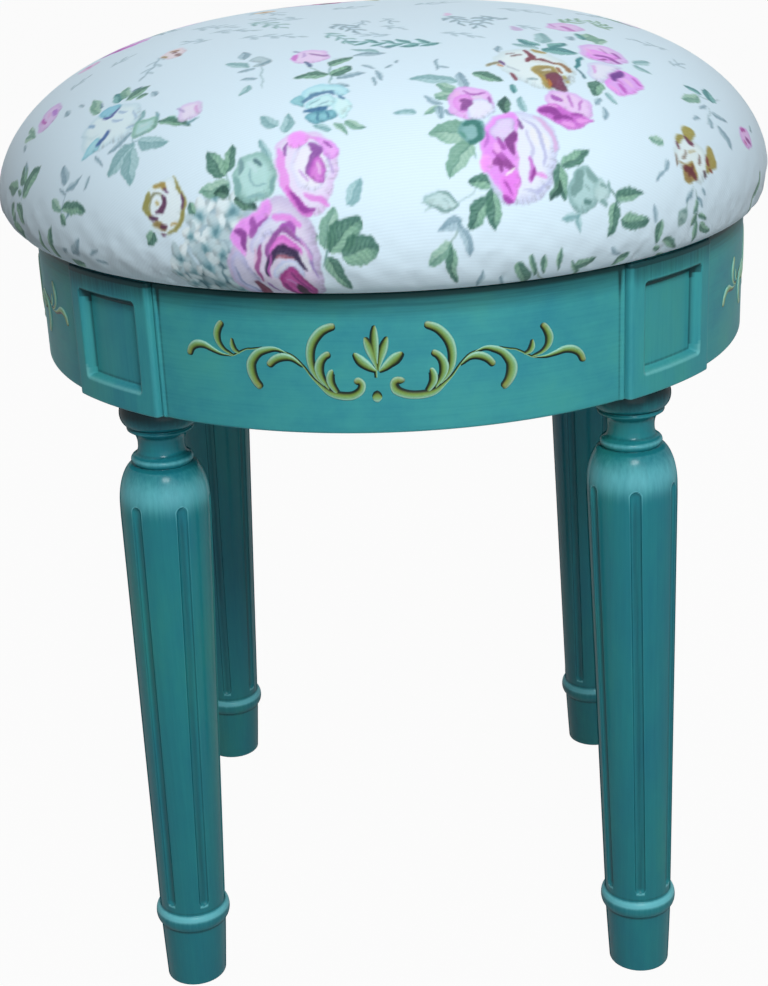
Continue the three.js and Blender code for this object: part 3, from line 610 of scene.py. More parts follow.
    """#cfe2e8 #e4f3f6 4 139 -136 142 -127 148 -123 157 -124 162 -132 159 -142 150 -146 142 -143;
    #8f8a4a #98904c 1.5 142.6 -121 145 -116.6 149.6 -117 150 -122 148 -125.4 144 -125.4;
    #5a2740 2.2 143.6 -125 147 -126.4 150 -125; #938c4c 3.6 142.4 -125.6 140.6 -132;
    #5e3340 1.8 139.6 -132 141.4 -134.6;
    #8a7f44 #968a48 1.5 158 -121 162 -118.6 166.6 -124 164 -131.4 160 -134.6 159 -127;
    #6e2f34 2.6 159.6 -126 161.4 -129.6; #7a4038 1.6 162 -131.6 165 -131;
    #44343c 1.8 159 -134.6 161 -138;
    #8f7f40 #8a7044 2 145.6 -144 148 -139 151 -136 155.6 -141 153 -147 148.6 -148.6;
    #5e2b34 3.2 146.4 -143.4 150.6 -141 155 -143.4; #5e2b34 1.8 151 -137 150.6 -145;
    #857a70 1.6 141 -138 141.6 -145; #857a70 1.6 146.4 -132 144.6 -139;
    #75605c 1.6 154 -129 155.4 -134; #a39c7c 1.2 143 -142 146.6 -141; #b0a880 1.2 151 -128 148 -133""",
    # pale pink flower on its sprig
    """#e2c4f2 #ecd9f8 3 -37 -101 -34 -93 -27 -91 -21 -96 -20 -104 -27 -108 -34 -107;
    #cf83d4 2.6 -36 -96 -35 -103; #a27fb8 2.2 -29 -95 -24 -100 -20 -100; #55698c 2 -31 -106 -28 -112;
    #c9b2e4 1.6 -31 -94 -32 -100; #8894b8 1.4 -36 -90 -33 -93""",
    # bud with its calyx
    """#dccdf0 #eae4f8 3 -88 -131 -85 -125.6 -79 -125.6 -76 -132 -80 -137.6 -86 -138;
    #b2a6d6 1.6 -88 -127 -85 -131; #dcb8e6 2 -79 -129 -79 -135; #6f9aa4 1.2 -84 -141 -78 -138""",
    # pale bud at the front
    """#8fb0b2 #c0dadc 2 21 -200 27 -196 32 -197.6 37 -201.4 31 -205 25 -203.6;
    #6e918f 1.2 27 -196.6 33 -198 36 -201; #7b9c9a 1.2 24 -203 31 -204.6 36 -202;
    #a9c6c6 0.9 20 -202 26 -200; #a9c6c6 0.9 21 -205 26 -203; #9bbcc0 1 29 -200 32 -201""",
    # grey rose at the right
    """#84a9a9 #aecfd1 4 87 -183 90 -174 95 -170 101 -174 103 -182 99 -190 92 -192 88 -189;
    #7a9e9d 4.4 93 -173 90 -186; #86a9a8 3.4 95 -171.6 100 -176; #5a8280 2.4 96.6 -186.4 99 -185;
    #91b3b3 1.4 95 -179 98 -181; #a3c4c6 #bcd8da 2 100 -182 101 -174 105 -174 108 -179 105 -184;
    #6f9492 1.2 102 -176 106 -175; #86aaaa 3 105 -183 108 -183.6; #86aaaa 1.6 107 -172 108 -178""",
    # left bunch in white and blue
    """#cde6f2 #e2f5fb 5 -138 -112 -134 -106 -126 -103 -116 -104 -108 -110 -106 -120 -112 -130 -124 -131
    -137 -127; #7cb9d0 #93cadd 2 -128 -102 -120 -101 -117 -105 -122 -109 -127 -107;
    #52609c 2.4 -126 -108 -122 -110.4 -118 -106;
    #8fcbdc #a8dae6 2 -139 -128 -131 -121 -127 -126 -132 -130; #a8c6e2 1.4 -118 -109 -113 -113;
    #a8c6e2 1.4 -122 -114 -116 -118; #b4cfe6 1.4 -110 -114 -109 -122;
    #3f5f98 2.4 -130 -127 -126 -124 -123 -120; #8fb4d2 1.6 -135 -107 -131 -112;
    #9fc0da 1.2 -114 -125 -109 -127""",
    # small roses at the edges and on top
    """#dba8e8 #e4c2f0 3 180.6 -83 183 -75 188 -71.6 192 -78 190 -85 184 -88;
    #a8509e 2.4 182.6 -80 184.6 -74.6; #8f4f94 2.6 186.6 -82 190.6 -79;
    #c06aa8 1.6 184.6 -85.6 187.6 -84""",
    """#d6bdec #e2cdf4 4 -168 -71 -165 -59 -157 -57 -153 -66 -156 -76 -164 -79;
    #b868bc 2.2 -165 -64 -162.6 -74; #bb8cdc 3 -159 -63 -155.6 -72; #e8c8f4 2 -162 -61 -160 -69""",
    """#dcb9ea #e4caf2 4 81 -45 85 -36 92 -31.6 99 -38 98 -46 90 -51 84 -50; #c083cb 4 89 -41 94 -48;
    #c79ad6 2 83 -38 85 -46; #ecd2f6 2 90 -34 94 -38""",
    """#e2d6e4 #e8e0e8 2 -101 -60 -99 -52 -93 -50 -89 -56 -91 -66 -97 -66; #8d7058 3 -97 -54 -93 -55;
    #8a7274 2.8 -93 -60 -91 -66; #9a8a60 2.4 -100 -59 -98 -63; #6a4a50 1.8 -96 -57 -94 -58""",
    """#e0bfe8 #ead0f0 3 -151 -14 -148 -7 -142 -6 -139 -12 -143 -19 -149 -19;
    #c38cc6 2.6 -147 -10 -144 -15""",
    """#d8c4b0 #e0d4c4 3 -63 32 -60 38 -54 38 -52 31 -56 27 -61 27; #9a7a54 2.6 -59 34 -56 30""",
    """#9fb8c2 #b8cfd8 2 -57 -96 -53 -91.6 -49 -93 -46 -99 -49 -104.6 -54 -103 -52 -99;
    #86a4b2 2.4 -51 -103 -47 -99; #c6dce4 1.4 -54 -95 -51 -96""",
    """#86a8a6 #9fbcba 2 151 -164 152.6 -160 156 -159.4 158.4 -162.4 157.4 -166.4 153.6 -167.6;
    #6e9290 1.4 152 -162 156 -160.4; #6e9290 1.2 154 -165.6 157 -163.4""",
    """#6f9ea2 #8cb6ba 3 36 -163 41 -158 47 -159.6 48 -166 43 -172 38 -170;
    #3d7670 3.4 38 -162 43 -160 47 -164; #3d7670 2.8 45 -162 45 -169 41 -172;
    #5d968a 1.4 37 -166 40 -170""",
    """#7fae9e #b5d9da 3 -111 -131 -108 -125.6 -103 -125.6 -98 -128 -98 -133 -103 -136.4 -109 -135.4;
    #cfe8ea 1.6 -107 -129 -102 -130; #8fb6b6 1.6 -110 -134 -103 -136""",
]

# small five-petalled blossoms: x y, reach
blossoms = """
-82 -191 7.7; -73 -186 5.9; -66 -195 8.8; -76 -200 7.7; -89 -198 5.3; -84 -206 7.1; -86 -213 7.7;
-76 -211 5.9; -99 -204 7.1; -96 -212 5.9; -88 -222 8.8; -98 -219 7.1; -80 -230 8.3; -92 -231 7.1;
-105 -209 4.7; -74 -219 5.4; -104 -217 5.4; -70 -232 5.4; -101 -228 6
"""


def itemsOf(text):
    return text.replace("\n", " ").split(";")


def readNumbers(text):
    return np.array([float(part) for part in text.split()])


def readStrokes(text):
    # each petal or line of a text as its one or two colours, its depth or width, and its points
    for item in itemsOf(text):
        inks = [word for word in item.split() if word[0] == "#"]
        numbers = readNumbers(" ".join(item.split()[len(inks):]))
        yield inks, numbers[0], numbers[1:].reshape(-1, 2)


def curveThrough(points, closed, between=6):
    # a smooth curve: a cubic between neighbours whose slope at each point is half the step
    # from the one before to the one after
    if closed:
        before, after, last = (np.roll(points, shift, 0) for shift in (1, -1, -2))
        start = points
    else:
        full = np.concatenate([points[:1], points, points[-1:]])
        before, start, after, last = full[:-3], full[1:-2], full[2:-1], full[3:]
    t = (np.arange(between) / between)[None, :, None]
    a, b, c, d = (p[:, None, :] for p in (before, start, after, last))
    curve = 0.5 * (2 * b + (c - a) * t + (2 * a - 5 * b + 4 * c - d) * t ** 2
                   + (3 * b - a - 3 * c + d) * t ** 3)
    curve = curve.reshape(-1, points.shape[1])
    return curve if closed else np.concatenate([curve, points[-1:]])


def sheetWindow(sheet, low, high):
    # the part of the sheet between two corners, and the millimetres of its points, a little waved
    # so that edges look painted
    half, step = cloth["half"], cloth["step"]
    first = np.maximum(((np.array(low) - 2 + half) / step).astype(int), 0)
    last = np.minimum(((np.array(high) + 2 + half) / step).astype(int) + 1, sheet.shape[0])
    if (last <= first).any():
        return None
    x = (np.arange(first[0], last[0]) * step - half)[None, :]
    y = (np.arange(first[1], last[1]) * step - half)[:, None]
    x, y = (x + 0.45 * np.sin(0.62 * y + 0.31 * x) + 0.14 * np.sin(1.9 * y - 1.1 * x),
            y + 0.45 * np.sin(0.57 * x - 0.38 * y) + 0.14 * np.sin(1.7 * x + 1.3 * y))
    return sheet[first[1]:last[1], first[0]:last[0]], x, y


def lay(area, share, colour):
    # mixes colour into the sheet by share
    area += (colour - area) * share[..., None]


def segmentDistance(x, y, a, b):
    # distance from each point to each segment, and how far along the segment the nearest point is
    along = b - a
    dx, dy = x[..., None] - a[:, 0], y[..., None] - a[:, 1]
    t = np.clip((dx * along[:, 0] + dy * along[:, 1]) / np.maximum((along ** 2).sum(1), 1e-9), 0, 1)
    return np.hypot(dx - t * along[:, 0], dy - t * along[:, 1]), t


def wetness(x, y):
    # how well the ink took: crossed waves at 2 to 5 mm, from 0.8 to 1
    grain = np.sin(1.3 * x + 2.1 * np.sin(0.7 * y)) * np.sin(1.7 * y + 1.6 * np.sin(0.9 * x))
    return 0.9 + 0.06 * (grain + 0.6 * np.sin(3.1 * x - 2.3 * y))


def vivid(colour):
    # print inks: each channel 1.18 times as far from the mean, and a little darker
    mean = colour.mean()
    return np.clip(mean + 1.18 * (colour - mean), 0, 1) * 0.985


def paintPetal(sheet, rim, inner, depth, outline):
    # A filled outline: the rim colour turns to the inner colour over the given depth, and fine
    # strokes of a darker rim colour run in from its lower edge. Across them the strength is
    # (0.5 + 0.5 sin(2 pi s / 1.7 + 3 sin(0.9 s)))^1.5, s being mm along the edge.
    a = curveThrough(outline, True)
    b = np.roll(a, -1, 0)
    found = sheetWindow(sheet, a.min(0), a.max(0))
    if found is None:
        return
    area, x, y = found
    every, t = segmentDistance(x, y, a, b)
    nearest, away = every.argmin(-1), every.min(-1)
    step = b - a
    rise = np.where(step[:, 1] == 0, 1e-9, step[:, 1])
    crosses = ((a[:, 1] > y[..., None]) != (b[:, 1] > y[..., None])) & (
        x[..., None] < step[:, 0] * (y[..., None] - a[:, 1]) / rise + a[:, 0])
    away = np.where(crosses.sum(-1) % 2 == 1, away, -away)
    share = smooth(0, depth, away)[..., None]
    rimInk, innerInk = vivid(hexColour(rim)), vivid(hexColour(inner))
    colour = rimInk * (1 - share) + innerInk * share
    length = np.hypot(*step.T)
    further = np.take_along_axis(t, nearest[..., None], -1)[..., 0] * length[nearest]
    s = (np.cumsum(length) - length)[nearest] + further
    # how far the edge faces down and to the right there, whichever way round the outline was drawn
    around = np.sign(np.sum(a[:, 0] * b[:, 1] - b[:, 0] * a[:, 1]))
    facing = (around * (step[:, 1] * 0.5 + step[:, 0] * 0.86) / np.maximum(length, 1e-9))[nearest]
    stroke = (0.5 + 0.5 * np.sin(2 * math.pi * s / 1.7 + 3 * np.sin(0.9 * s))) ** 1.5
    reach = (1.2 + 0.9 * depth) * (0.55 + 0.45 * np.sin(1.3 * s + 1.1))
    feather = (stroke * smooth(reach + 0.6, 0.1, away) * smooth(-0.3, 0.7, facing) * 0.6)[..., None]
    colour = colour * (1 - feather) + (rimInk * 0.66 + innerInk * 0.02) * feather
    lay(area, smooth(-0.6, 0.7, away) * wetness(x, y), colour)


def paintLine(sheet, ink, width, points):
    # a brush line, widest in the middle: half width = w / 2 * (1 - |2 t - 1| ^ 2.4) ^ 0.6
    curve = curveThrough(points, False)
    found = sheetWindow(sheet, curve.min(0) - width, curve.max(0) + width)
    if found is None:
        return
    area, x, y = found
    away, t = segmentDistance(x, y, curve[:-1], curve[1:])
    t = (t + np.arange(len(curve) - 1)) / (len(curve) - 1)
    half = width / 2 * (1 - np.abs(2 * t - 1) ** 2.4) ** 0.6
    share = smooth(0.55, -0.6, (away - half).min(-1)) * min(1, 0.6 + width / 3)
    lay(area, share * wetness(x, y), vivid(hexColour(ink)) * 0.96)


def paintLeaf(sheet, base, tip, width, tone, bend):
    # a pointed oval about the line from base to tip: half width = w / 2 * t^0.55 (1 - t)^0.75 / 0.413,
    # bowed by 4 bend t (1 - t) of its length, with one half darker, a midrib, side veins and a dark tip
    length = np.hypot(*(tip - base))
    axis = (tip - base) / length
    found = sheetWindow(sheet, np.minimum(base, tip) - width, np.maximum(base, tip) + width)
    if found is None:
        return
    area, x, y = found
    dx, dy = x - base[0], y - base[1]
    u = (dx * axis[0] + dy * axis[1]) / length
    v = dy * axis[0] - dx * axis[1] - bend * length * 4 * u * (1 - u)
    t = np.clip(u, 0.0001, 0.9999)
    half = width / 2 * t ** 0.55 * (1 - t) ** 0.75 / 0.413
    half = half * (1 + 0.045 * np.sin(t * length * 1.7 + base[0]))
    over = np.abs(v) - half + 6 * np.maximum(0, np.maximum(-u, u - 1))
    light, dark, rib = (hexColour(c) for c in leafTones[tone])
    side = smooth(-0.5, 0.5, (v if bend >= 0 else -v) / (0.12 * width))
    veins = (0.5 + 0.5 * np.sin(t * length * 2.3 - np.abs(v) * 2.0 + base[1])) ** 1.4
    shade = 0.05 + 0.62 * side + 0.34 * veins * smooth(2.5, 6, width) + 0.55 * smooth(0.62, 0.97, t)
    shade = shade + 0.2 * smooth(0.55, 0.95, np.abs(v) / np.maximum(half, 0.1))
    shade = np.clip(shade, 0, 1)[..., None]
    ribShare = (smooth(0.55, 0.1, np.abs(v)) * 0.65)[..., None]
    colour = (light * (1 - shade) + dark * shade) * (1 - ribShare) + rib * ribShare
    lay(area, smooth(0.5, -0.6, over) * leafStrength.get(tone, 1) * wetness(x, y), colour)


def paintSprig(sheet, foot, tip, count, length, tone):
    # leaf k of n leaves the stem at (k + 0.3) / n, 38 degrees to alternate sides, and is shorter
    # toward the tip; the last one goes straight on
    along = tip - foot
    bow = np.array([-along[1], along[0]]) * 0.08
    paintLine(sheet, leafTones[tone][1], 1.0, np.stack([foot, (foot + tip) / 2 + bow, tip]))
    heading = math.atan2(along[1], along[0])
    for k in range(count):
        t = (k + 0.3) / count
        start = foot + along * t + bow * 4 * t * (1 - t)
        turn = heading + (0 if k == count - 1 else 0.66 * (-1) ** k)
        reach = length * (1.05 - 0.35 * t) * (0.92 + 0.08 * math.sin(5 * k + foot[0]))
        end = start + reach * np.array([math.cos(turn), math.sin(turn)])
        paintLeaf(sheet, start, end, reach * 0.38, tone, 0.05 * (-1) ** k)


def paintBlossom(sheet, x0, y0, reach, turn):
    # five round petals about a dark heart: each is |(u - 0.5) / long|^1.8 + |v / wide|^1.8 < 1 in
    # units of the reach, long near 0.54 and wide near 0.4
    found = sheetWindow(sheet, (x0 - 1.4 * reach, y0 - 1.6 * reach), (x0 + 1.4 * reach, y0 + 1.1 * reach))
    if found is None:
        return
    area, x, y = found
    dx, dy = (x - x0) / reach, (y - y0) / reach
    low = float(smooth(-196, -222, y0))
    behind = smooth(1.2, 0.55, np.hypot(dx - 0.15, dy + 0.35)) * (0.28 + 0.66 * low)
    lay(area, behind, hexColour("#2f5a68"))
    for k in range(5):
        a = turn + 1.2566 * k + 0.25 * math.sin(turn + 2 * k)
        u, v = dx * math.cos(a) + dy * math.sin(a), -dx * math.sin(a) + dy * math.cos(a)
        long = 0.54 + 0.1 * math.sin(3 * turn + k)
        wide = 0.4 + 0.07 * math.sin(5 * turn + 2 * k)
        q = (np.abs((u - 0.5) / long) ** 1.8 + np.abs(v / wide) ** 1.8) ** (1 / 1.8)
        # some petals are in the shade, more of them low down
        shade = min(1, max(0, 0.25 + 0.45 * low + 0.4 * math.sin(7 * turn + 2.6 * k)))
        rim = hexColour("#e4f5fb") * (1 - 0.6 * shade) + hexColour("#7fa6b4") * 0.6 * shade
        heart = hexColour("#86b4c0") * (1 - 0.4 * shade) + hexColour("#41707f") * 0.4 * shade
        tint = smooth(0.0, 0.6, u)[..., None]
        colour = heart * (1 - tint) + rim * tint
        lay(area, smooth(1.12, 0.88, q), colour * (1 - 0.16 * smooth(0, 0.35, v))[..., None])
    lay(area, smooth(0.24, 0.08, np.hypot(dx, dy)) * 0.4, hexColour("#2f5f6c"))


def repeats(anchor):
    # Where a motif is painted: where it lies, and again a repeat further back or to a side, as on
    # a bolt of cloth, if its middle is then on a part that the photographed print leaves free
    yield np.zeros(2)
    for shift, (left, right), (near, far) in cloth["repeats"]:
        x, y = anchor + shift
        if left < x < right and near < y < far and math.hypot(x, y) < cloth["repeatReach"]:
            yield np.array(shift)


def paintSheet():
    # the colours are mixed as sRGB and turned to linear at the end
    count = int(2 * cloth["half"] / cloth["step"]) + 1
    sheet = np.empty((count, count, 3))
    sheet[:] = hexColour(cloth["ground"])
    for text in itemsOf(blossoms):
        x, y, reach = readNumbers(text)
        for shift in repeats(np.array([x, y])):
            paintBlossom(sheet, x + shift[0], y + shift[1], reach, x * 0.7 + y)
    for inks, width, points in readStrokes(lines):
        for shift in repeats(points.mean(0)):
            paintLine(sheet, *inks, width, points + shift)
    for text in itemsOf(sprigs):
        *numbers, count, length, tone = text.split()
        foot, tip = readNumbers(" ".join(numbers)).reshape(2, 2)
        for shift in repeats((foot + tip) / 2):
            paintSprig(sheet, foot + shift, tip + shift, int(count), float(length), tone)
    for text in itemsOf(leaves):
        *numbers, width, tone = text.split()
        base, tip = readNumbers(" ".join(numbers)).reshape(2, 2)
        bend = 0.035 if int(abs(base[0] * 3 + tip[1] * 7)) % 2 else -0.035
        for shift in repeats((base + tip) / 2):
            paintLeaf(sheet, base + shift, tip + shift, float(width), tone, bend)
    for text in flowers:
        strokes = list(readStrokes(text))
        for shift in repeats(strokes[0][2].mean(0)):
            for inks, size, points in strokes:
                paint = paintPetal if len(inks) == 2 else paintLine
                paint(sheet, *inks, size, points + shift)
    return sheet


def sheetColours(sheet, x, y):
    # the sheet's colour at each point, mixed from the four nearest, turned to linear
    column = np.clip((x + cloth["half"]) / cloth["step"], 0, sheet.shape[1] - 1.001)
    row = np.clip((y + cloth["half"]) / cloth["step"], 0, sheet.shape[0] - 1.001)
    i, j = row.astype(int), column.astype(int)
    a, b = (row - i)[:, None], (column - j)[:, None]
    left = sheet[i, j] * (1 - a) + sheet[i + 1, j] * a
    right = sheet[i, j + 1] * (1 - a) + sheet[i + 1, j + 1] * a
    return toLinear(np.clip(left * (1 - b) + right * b, 0, 1))


# Seat cushion

cushion = {
    "spacing": 0.72,  # mm between points over the crown
    "radius": 192.5,
    "widest": 403.8,
    "crown": 76.2,
    "sidePower": 2.93,
    "topPower": 1.83,
    "underRadius": 178.5,
    "underHeight": 385.3,
    "hemRadius": 112.0,
    "folds": 44,
    "foldDepth": 1.2,
    "foldReach": (118, 158),
    "drift": (-2.6, -0.8),  # the stuffing has settled a little to one side
}


def cushionOutline():
    # Radius and height from the top of the dome down to the underside, as a superellipse
    # r = R sin(a) ^ (2 / p), z = zw + H cos(a) ^ (2 / q), then a quarter ellipse down to the rim
    a = np.linspace(0, math.pi / 2, 2500)
    crown = np.stack([cushion["radius"] * np.sin(a) ** (2 / cushion["sidePower"]),
                      cushion["widest"] + cushion["crown"] * np.cos(a) ** (2 / cushion["topPower"])], 1)
    roll = cushion["widest"] - cushion["underHeight"]
    lap = cushion["radius"] - cushion["underRadius"]
    side = np.stack([cushion["underRadius"] + lap * np.cos(a), cushion["widest"] - roll * np.sin(a)], 1)
    line = np.concatenate([crown, side[1:]])
    return line, lengthAlong(line)


def discGrid(count):
    # Equal-area map of a square grid (x, y in -1 to 1) onto a disc: radius = the larger of |x| and
    # |y|, angle = 45 degrees times the smaller over the larger, counted from the nearer axis
    side = np.linspace(-1, 1, count)
    x, y = np.meshgrid(side, side)
    flatX = np.abs(x) > np.abs(y)
    big, small = np.where(flatX, x, y), np.where(flatX, y, x)
    ratio = small / np.where(big == 0, 1, big) * math.pi / 4
    angle = np.where(flatX, ratio, math.pi / 2 - ratio)
    return (big * np.cos(angle)).ravel(), (big * np.sin(angle)).ravel()


# The cover's gathers are simulated: cloth cut a little large is blown up from a slightly smaller
# shape while its lower edge is held. The dome itself keeps the photographed outline.
gathers = {
    "points": 6500,
    "edgePoints": 240,
    "goldenAngle": 2.399963,
    "start": 0.99,  # size of the shape it starts from
    "spare": 0.025,  # extra cloth
    "pressure": 4.0,
    "stiffness": 15,
    "bending": 0.5,
    "frames": 20,
    "meanOver": 200,  # points
    "rings": 90,
    "spokes": 540,
    "share": 0.6,
    "cap": 1.0,  # mm
}


def outwardAlong(line):
    # radius and height parts of the outward direction at each point of the outline
    slope = np.gradient(line, axis=0)
    slope = slope / np.linalg.norm(slope, axis=1)[:, None]
    return -slope[:, 1], slope[:, 0]


def blowUp(flat, faces, full, held):
    # runs the cloth and gives the places where its points come to rest, in millimetres
    foot = np.array([0, 0, cushion["underHeight"]])
    scale = np.where(held, 1, gathers["start"])[:, None]
    points = np.concatenate([foot + (full - foot) * scale, [foot]])
    closing = fan(np.nonzero(held)[0], len(flat))[:, [1, 0, 2]]
    mesh = bpy.data.meshes.new("cover_at_start")
    mesh.from_pydata((points * mm).tolist(), [], faces + closing.tolist())
    shell = bpy.data.objects.new("cover_at_start", mesh)
    bpy.context.scene.collection.objects.link(shell)
    group = shell.vertex_groups.new(name="held")
    group.add(np.nonzero(np.append(held, True))[0].tolist(), 1.0, "REPLACE")
    sewn = shell.modifiers.new("cloth", "CLOTH")
    sewn.settings.quality = 6
    sewn.settings.tension_stiffness = gathers["stiffness"]
    sewn.settings.compression_stiffness = gathers["stiffness"]
    sewn.settings.bending_stiffness = gathers["bending"]
    sewn.settings.use_pressure = True
    sewn.settings.uniform_pressure_force = gathers["pressure"]
    sewn.settings.shrink_min = -gathers["spare"]
    sewn.settings.vertex_group_mass = "held"
    sewn.settings.effector_weights.gravity = 0
    sewn.collision_settings.use_collision = False
    for number in range(1, gathers["frames"] + 1):
        bpy.context.scene.frame_set(number)
    moved = shell.evaluated_get(bpy.context.evaluated_depsgraph_get()).to_mesh()
    after = np.zeros(len(points) * 3, np.float32)
    moved.vertices.foreach_get("co", after)
    bpy.context.scene.frame_set(1)
    bpy.data.objects.remove(shell)
    bpy.data.meshes.remove(mesh)
    return after.reshape(-1, 3)[:-1] / mm


def cross(u, v):
    # twice the area of the triangle that each pair spans, below 0 where v lies clockwise of u
    return u[:, 0] * v[:, 1] - u[:, 1] * v[:, 0]


def settleCover(line, length):
    # Unevenness of the settled cloth on rings and spokes, in millimetres outwards. Its points are
    # scattered evenly: radius sqrt(i / n), each turned by the golden angle, and joined to triangles.
    count, around = gathers["points"], gathers["edgePoints"]
    i = np.arange(count) + 0.5
    reach, turn = np.sqrt(i / count) * 0.993, i * gathers["goldenAngle"]
    edge = np.arange(around) * 2 * math.pi / around
    flat = np.concatenate([np.stack([reach * np.cos(turn), reach * np.sin(turn)], 1),
                           np.stack([np.cos(edge), np.sin(edge)], 1)])
    faces = delaunay_2d_cdt([Vector(p) for p in flat.tolist()], [], [], 0, 1e-7)[2]
    faces = [list(face) for face in faces]
    reach = np.hypot(*flat.T)
    toward = flat / np.maximum(reach, 1e-9)[:, None]

    def lifted(radius, height):
        across, up = (np.interp(reach * length[-1], length, values) for values in (radius, height))
        return np.column_stack([toward * across[:, None], up])

    full = lifted(*line.T)
    out = ((blowUp(flat, faces, full, reach > 0.999) - full) * lifted(*outwardAlong(line))).sum(1)
    # the even swelling of each ring, a running mean outwards, is taken off
    order, wide = np.argsort(reach), gathers["meanOver"]
    padded = np.pad(out[order], (wide // 2, wide // 2 - 1), mode="edge")
    uneven = np.empty_like(out)
    uneven[order] = out[order] - np.convolve(padded, np.ones(wide) / wide, "valid")
    tree = BVHTree.FromPolygons([(*p, 0.0) for p in flat.tolist()], faces)
    ring = np.linspace(0, 1, gathers["rings"])[:, None]
    spoke = np.arange(gathers["spokes"])[None, :] * 2 * math.pi / gathers["spokes"]
    places = np.stack([ring * np.cos(spoke), ring * np.sin(spoke)], -1).reshape(-1, 2)
    hits = np.array([tree.find_nearest((x, y, 0))[2] for x, y in places.tolist()])
    corner = np.array([face[:3] for face in faces])[hits]
    a, b, c = (flat[corner[:, k]] for k in range(3))
    shareB = cross(places - a, c - a) / cross(b - a, c - a)
    shareC = cross(b - a, places - a) / cross(b - a, c - a)
    shares = (1 - shareB - shareC, shareB, shareC)
    value = sum(uneven[corner[:, k]] * shares[k] for k in range(3)) * gathers["share"]
    return np.clip(value, -gathers["cap"], gathers["cap"]).reshape(len(ring), -1)


def ringsRead(grid, reach, turn):
    # read between the four nearest rings and the four nearest spokes, by the print curves' cubic
    rows, columns = grid.shape
    row = np.clip(reach * (rows - 1), 0, rows - 1.001)
    column = np.mod(turn / (2 * math.pi), 1) * columns
    i, j = row.astype(int), column.astype(int)

    def weights(f):
        return (-0.5 * f + f ** 2 - 0.5 * f ** 3, 1 - 2.5 * f ** 2 + 1.5 * f ** 3,
                0.5 * f + 2 * f ** 2 - 1.5 * f ** 3, -0.5 * f ** 2 + 0.5 * f ** 3)

    across, down = weights(column - j), weights(row - i)
    total = np.zeros(len(row))
    for k in range(4):
        for m in range(4):
            total += down[k] * across[m] * grid[np.clip(i + k - 1, 0, rows - 1), (j + m - 1) % columns]
    return total


def buildCushion():
    line, length = cushionOutline()
    total = length[-1]
    count = int(math.sqrt(math.pi) * total / cushion["spacing"]) // 2 * 2 + 1
    disc = np.stack(discGrid(count), 1)
    reach = np.hypot(*disc.T)
    radius = np.interp(reach * total, length, line[:, 0])
    height = np.interp(reach * total, length, line[:, 1])
    low, rimRadius = cushion["underHeight"], cushion["underRadius"]
    swell = ringsRead(settleCover(line, length), reach, np.arctan2(disc[:, 1], disc[:, 0]))
    swell = swell * smooth(low, low + 4, height)
    outRadius, outHeight = outwardAlong(line)
    radius = radius + swell * np.interp(reach * total, length, outRadius)
    height = height + swell * np.interp(reach * total, length, outHeight)
    plan = disc / np.where(reach == 0, 1, reach)[:, None] * radius[:, None]
    plan = plan + np.array(cushion["drift"]) * smooth(low, low + 14, height)[:, None]
    points, flat = [np.column_stack([plan, height])], [disc * total]
    quads = [gridQuads(count, count, False)]
    edge = np.arange(count * count).reshape(count, count)
    previous = np.concatenate([edge[0, :-1], edge[:-1, -1], edge[-1, :0:-1], edge[:0:-1, 0]])
    rim = disc[previous]
    # the underside: rings from the rim in to the hem, then closed above the dust cover
    inner, outer = cushion["foldReach"]
    rings = [(rimRadius - 1.2, 0.0), (165, 0.1), *((r, 0.1) for r in np.linspace(outer, inner, 14)),
             (cushion["hemRadius"] + 0.4, 0.0), (cushion["hemRadius"], 0.5), (60, 0.7)]
    # folds of the hem: each hangs 1.2 mm * max(0, cos(44 a + 0.6 sin(5 a)))^3 between the two radii
    turn = np.arctan2(rim[:, 1], rim[:, 0])
    folds = np.maximum(0, np.cos(cushion["folds"] * turn + 0.6 * np.sin(5 * turn))) ** 3
    folds = cushion["foldDepth"] * folds
    first = count * count
    for ringRadius, rise in rings:
        ring = first + np.arange(len(rim))
        hang = folds * float(smooth(inner, inner + 6, ringRadius) * smooth(outer, outer - 7, ringRadius))
        points.append(np.column_stack([rim * ringRadius, low + rise - hang]))
        flat.append(rim * (total + rimRadius - ringRadius))
        quads.append(band(previous, ring))
        previous = ring
        first += len(rim)
    points.append([[0, 0, low + 0.7]])
    flat = np.concatenate([*flat, [[0, 0]]])
    piece = makeMesh("stuffed_seat_cushion", np.concatenate(points) * mm,
                     [np.concatenate(quads), fan(previous, first)[:, ::-1]])
    cornerMap(piece, "cloth", flat / cloth["span"] + 0.5)
    pointColour(piece, "print", sheetColours(paintSheet(), *flat.T))
    finishPiece(piece, cotton, "cover_cloth", "seat_cover", "foam_pad")


buildCushion()
print("cushion made")


# Staples under the seat: one ring through the dust cover's edge, one through the cover's hem, which
# leaves out the corner blocks. Each ring is its radius, top, count and the degrees kept clear.
staples = {
    "wide": 9.0,
    "thick": 0.9,
    "deep": 0.45,
    "rings": ((114.0, 384.15, 40, 0.0), (129.0, 385.25, 44, 18.0)),
}


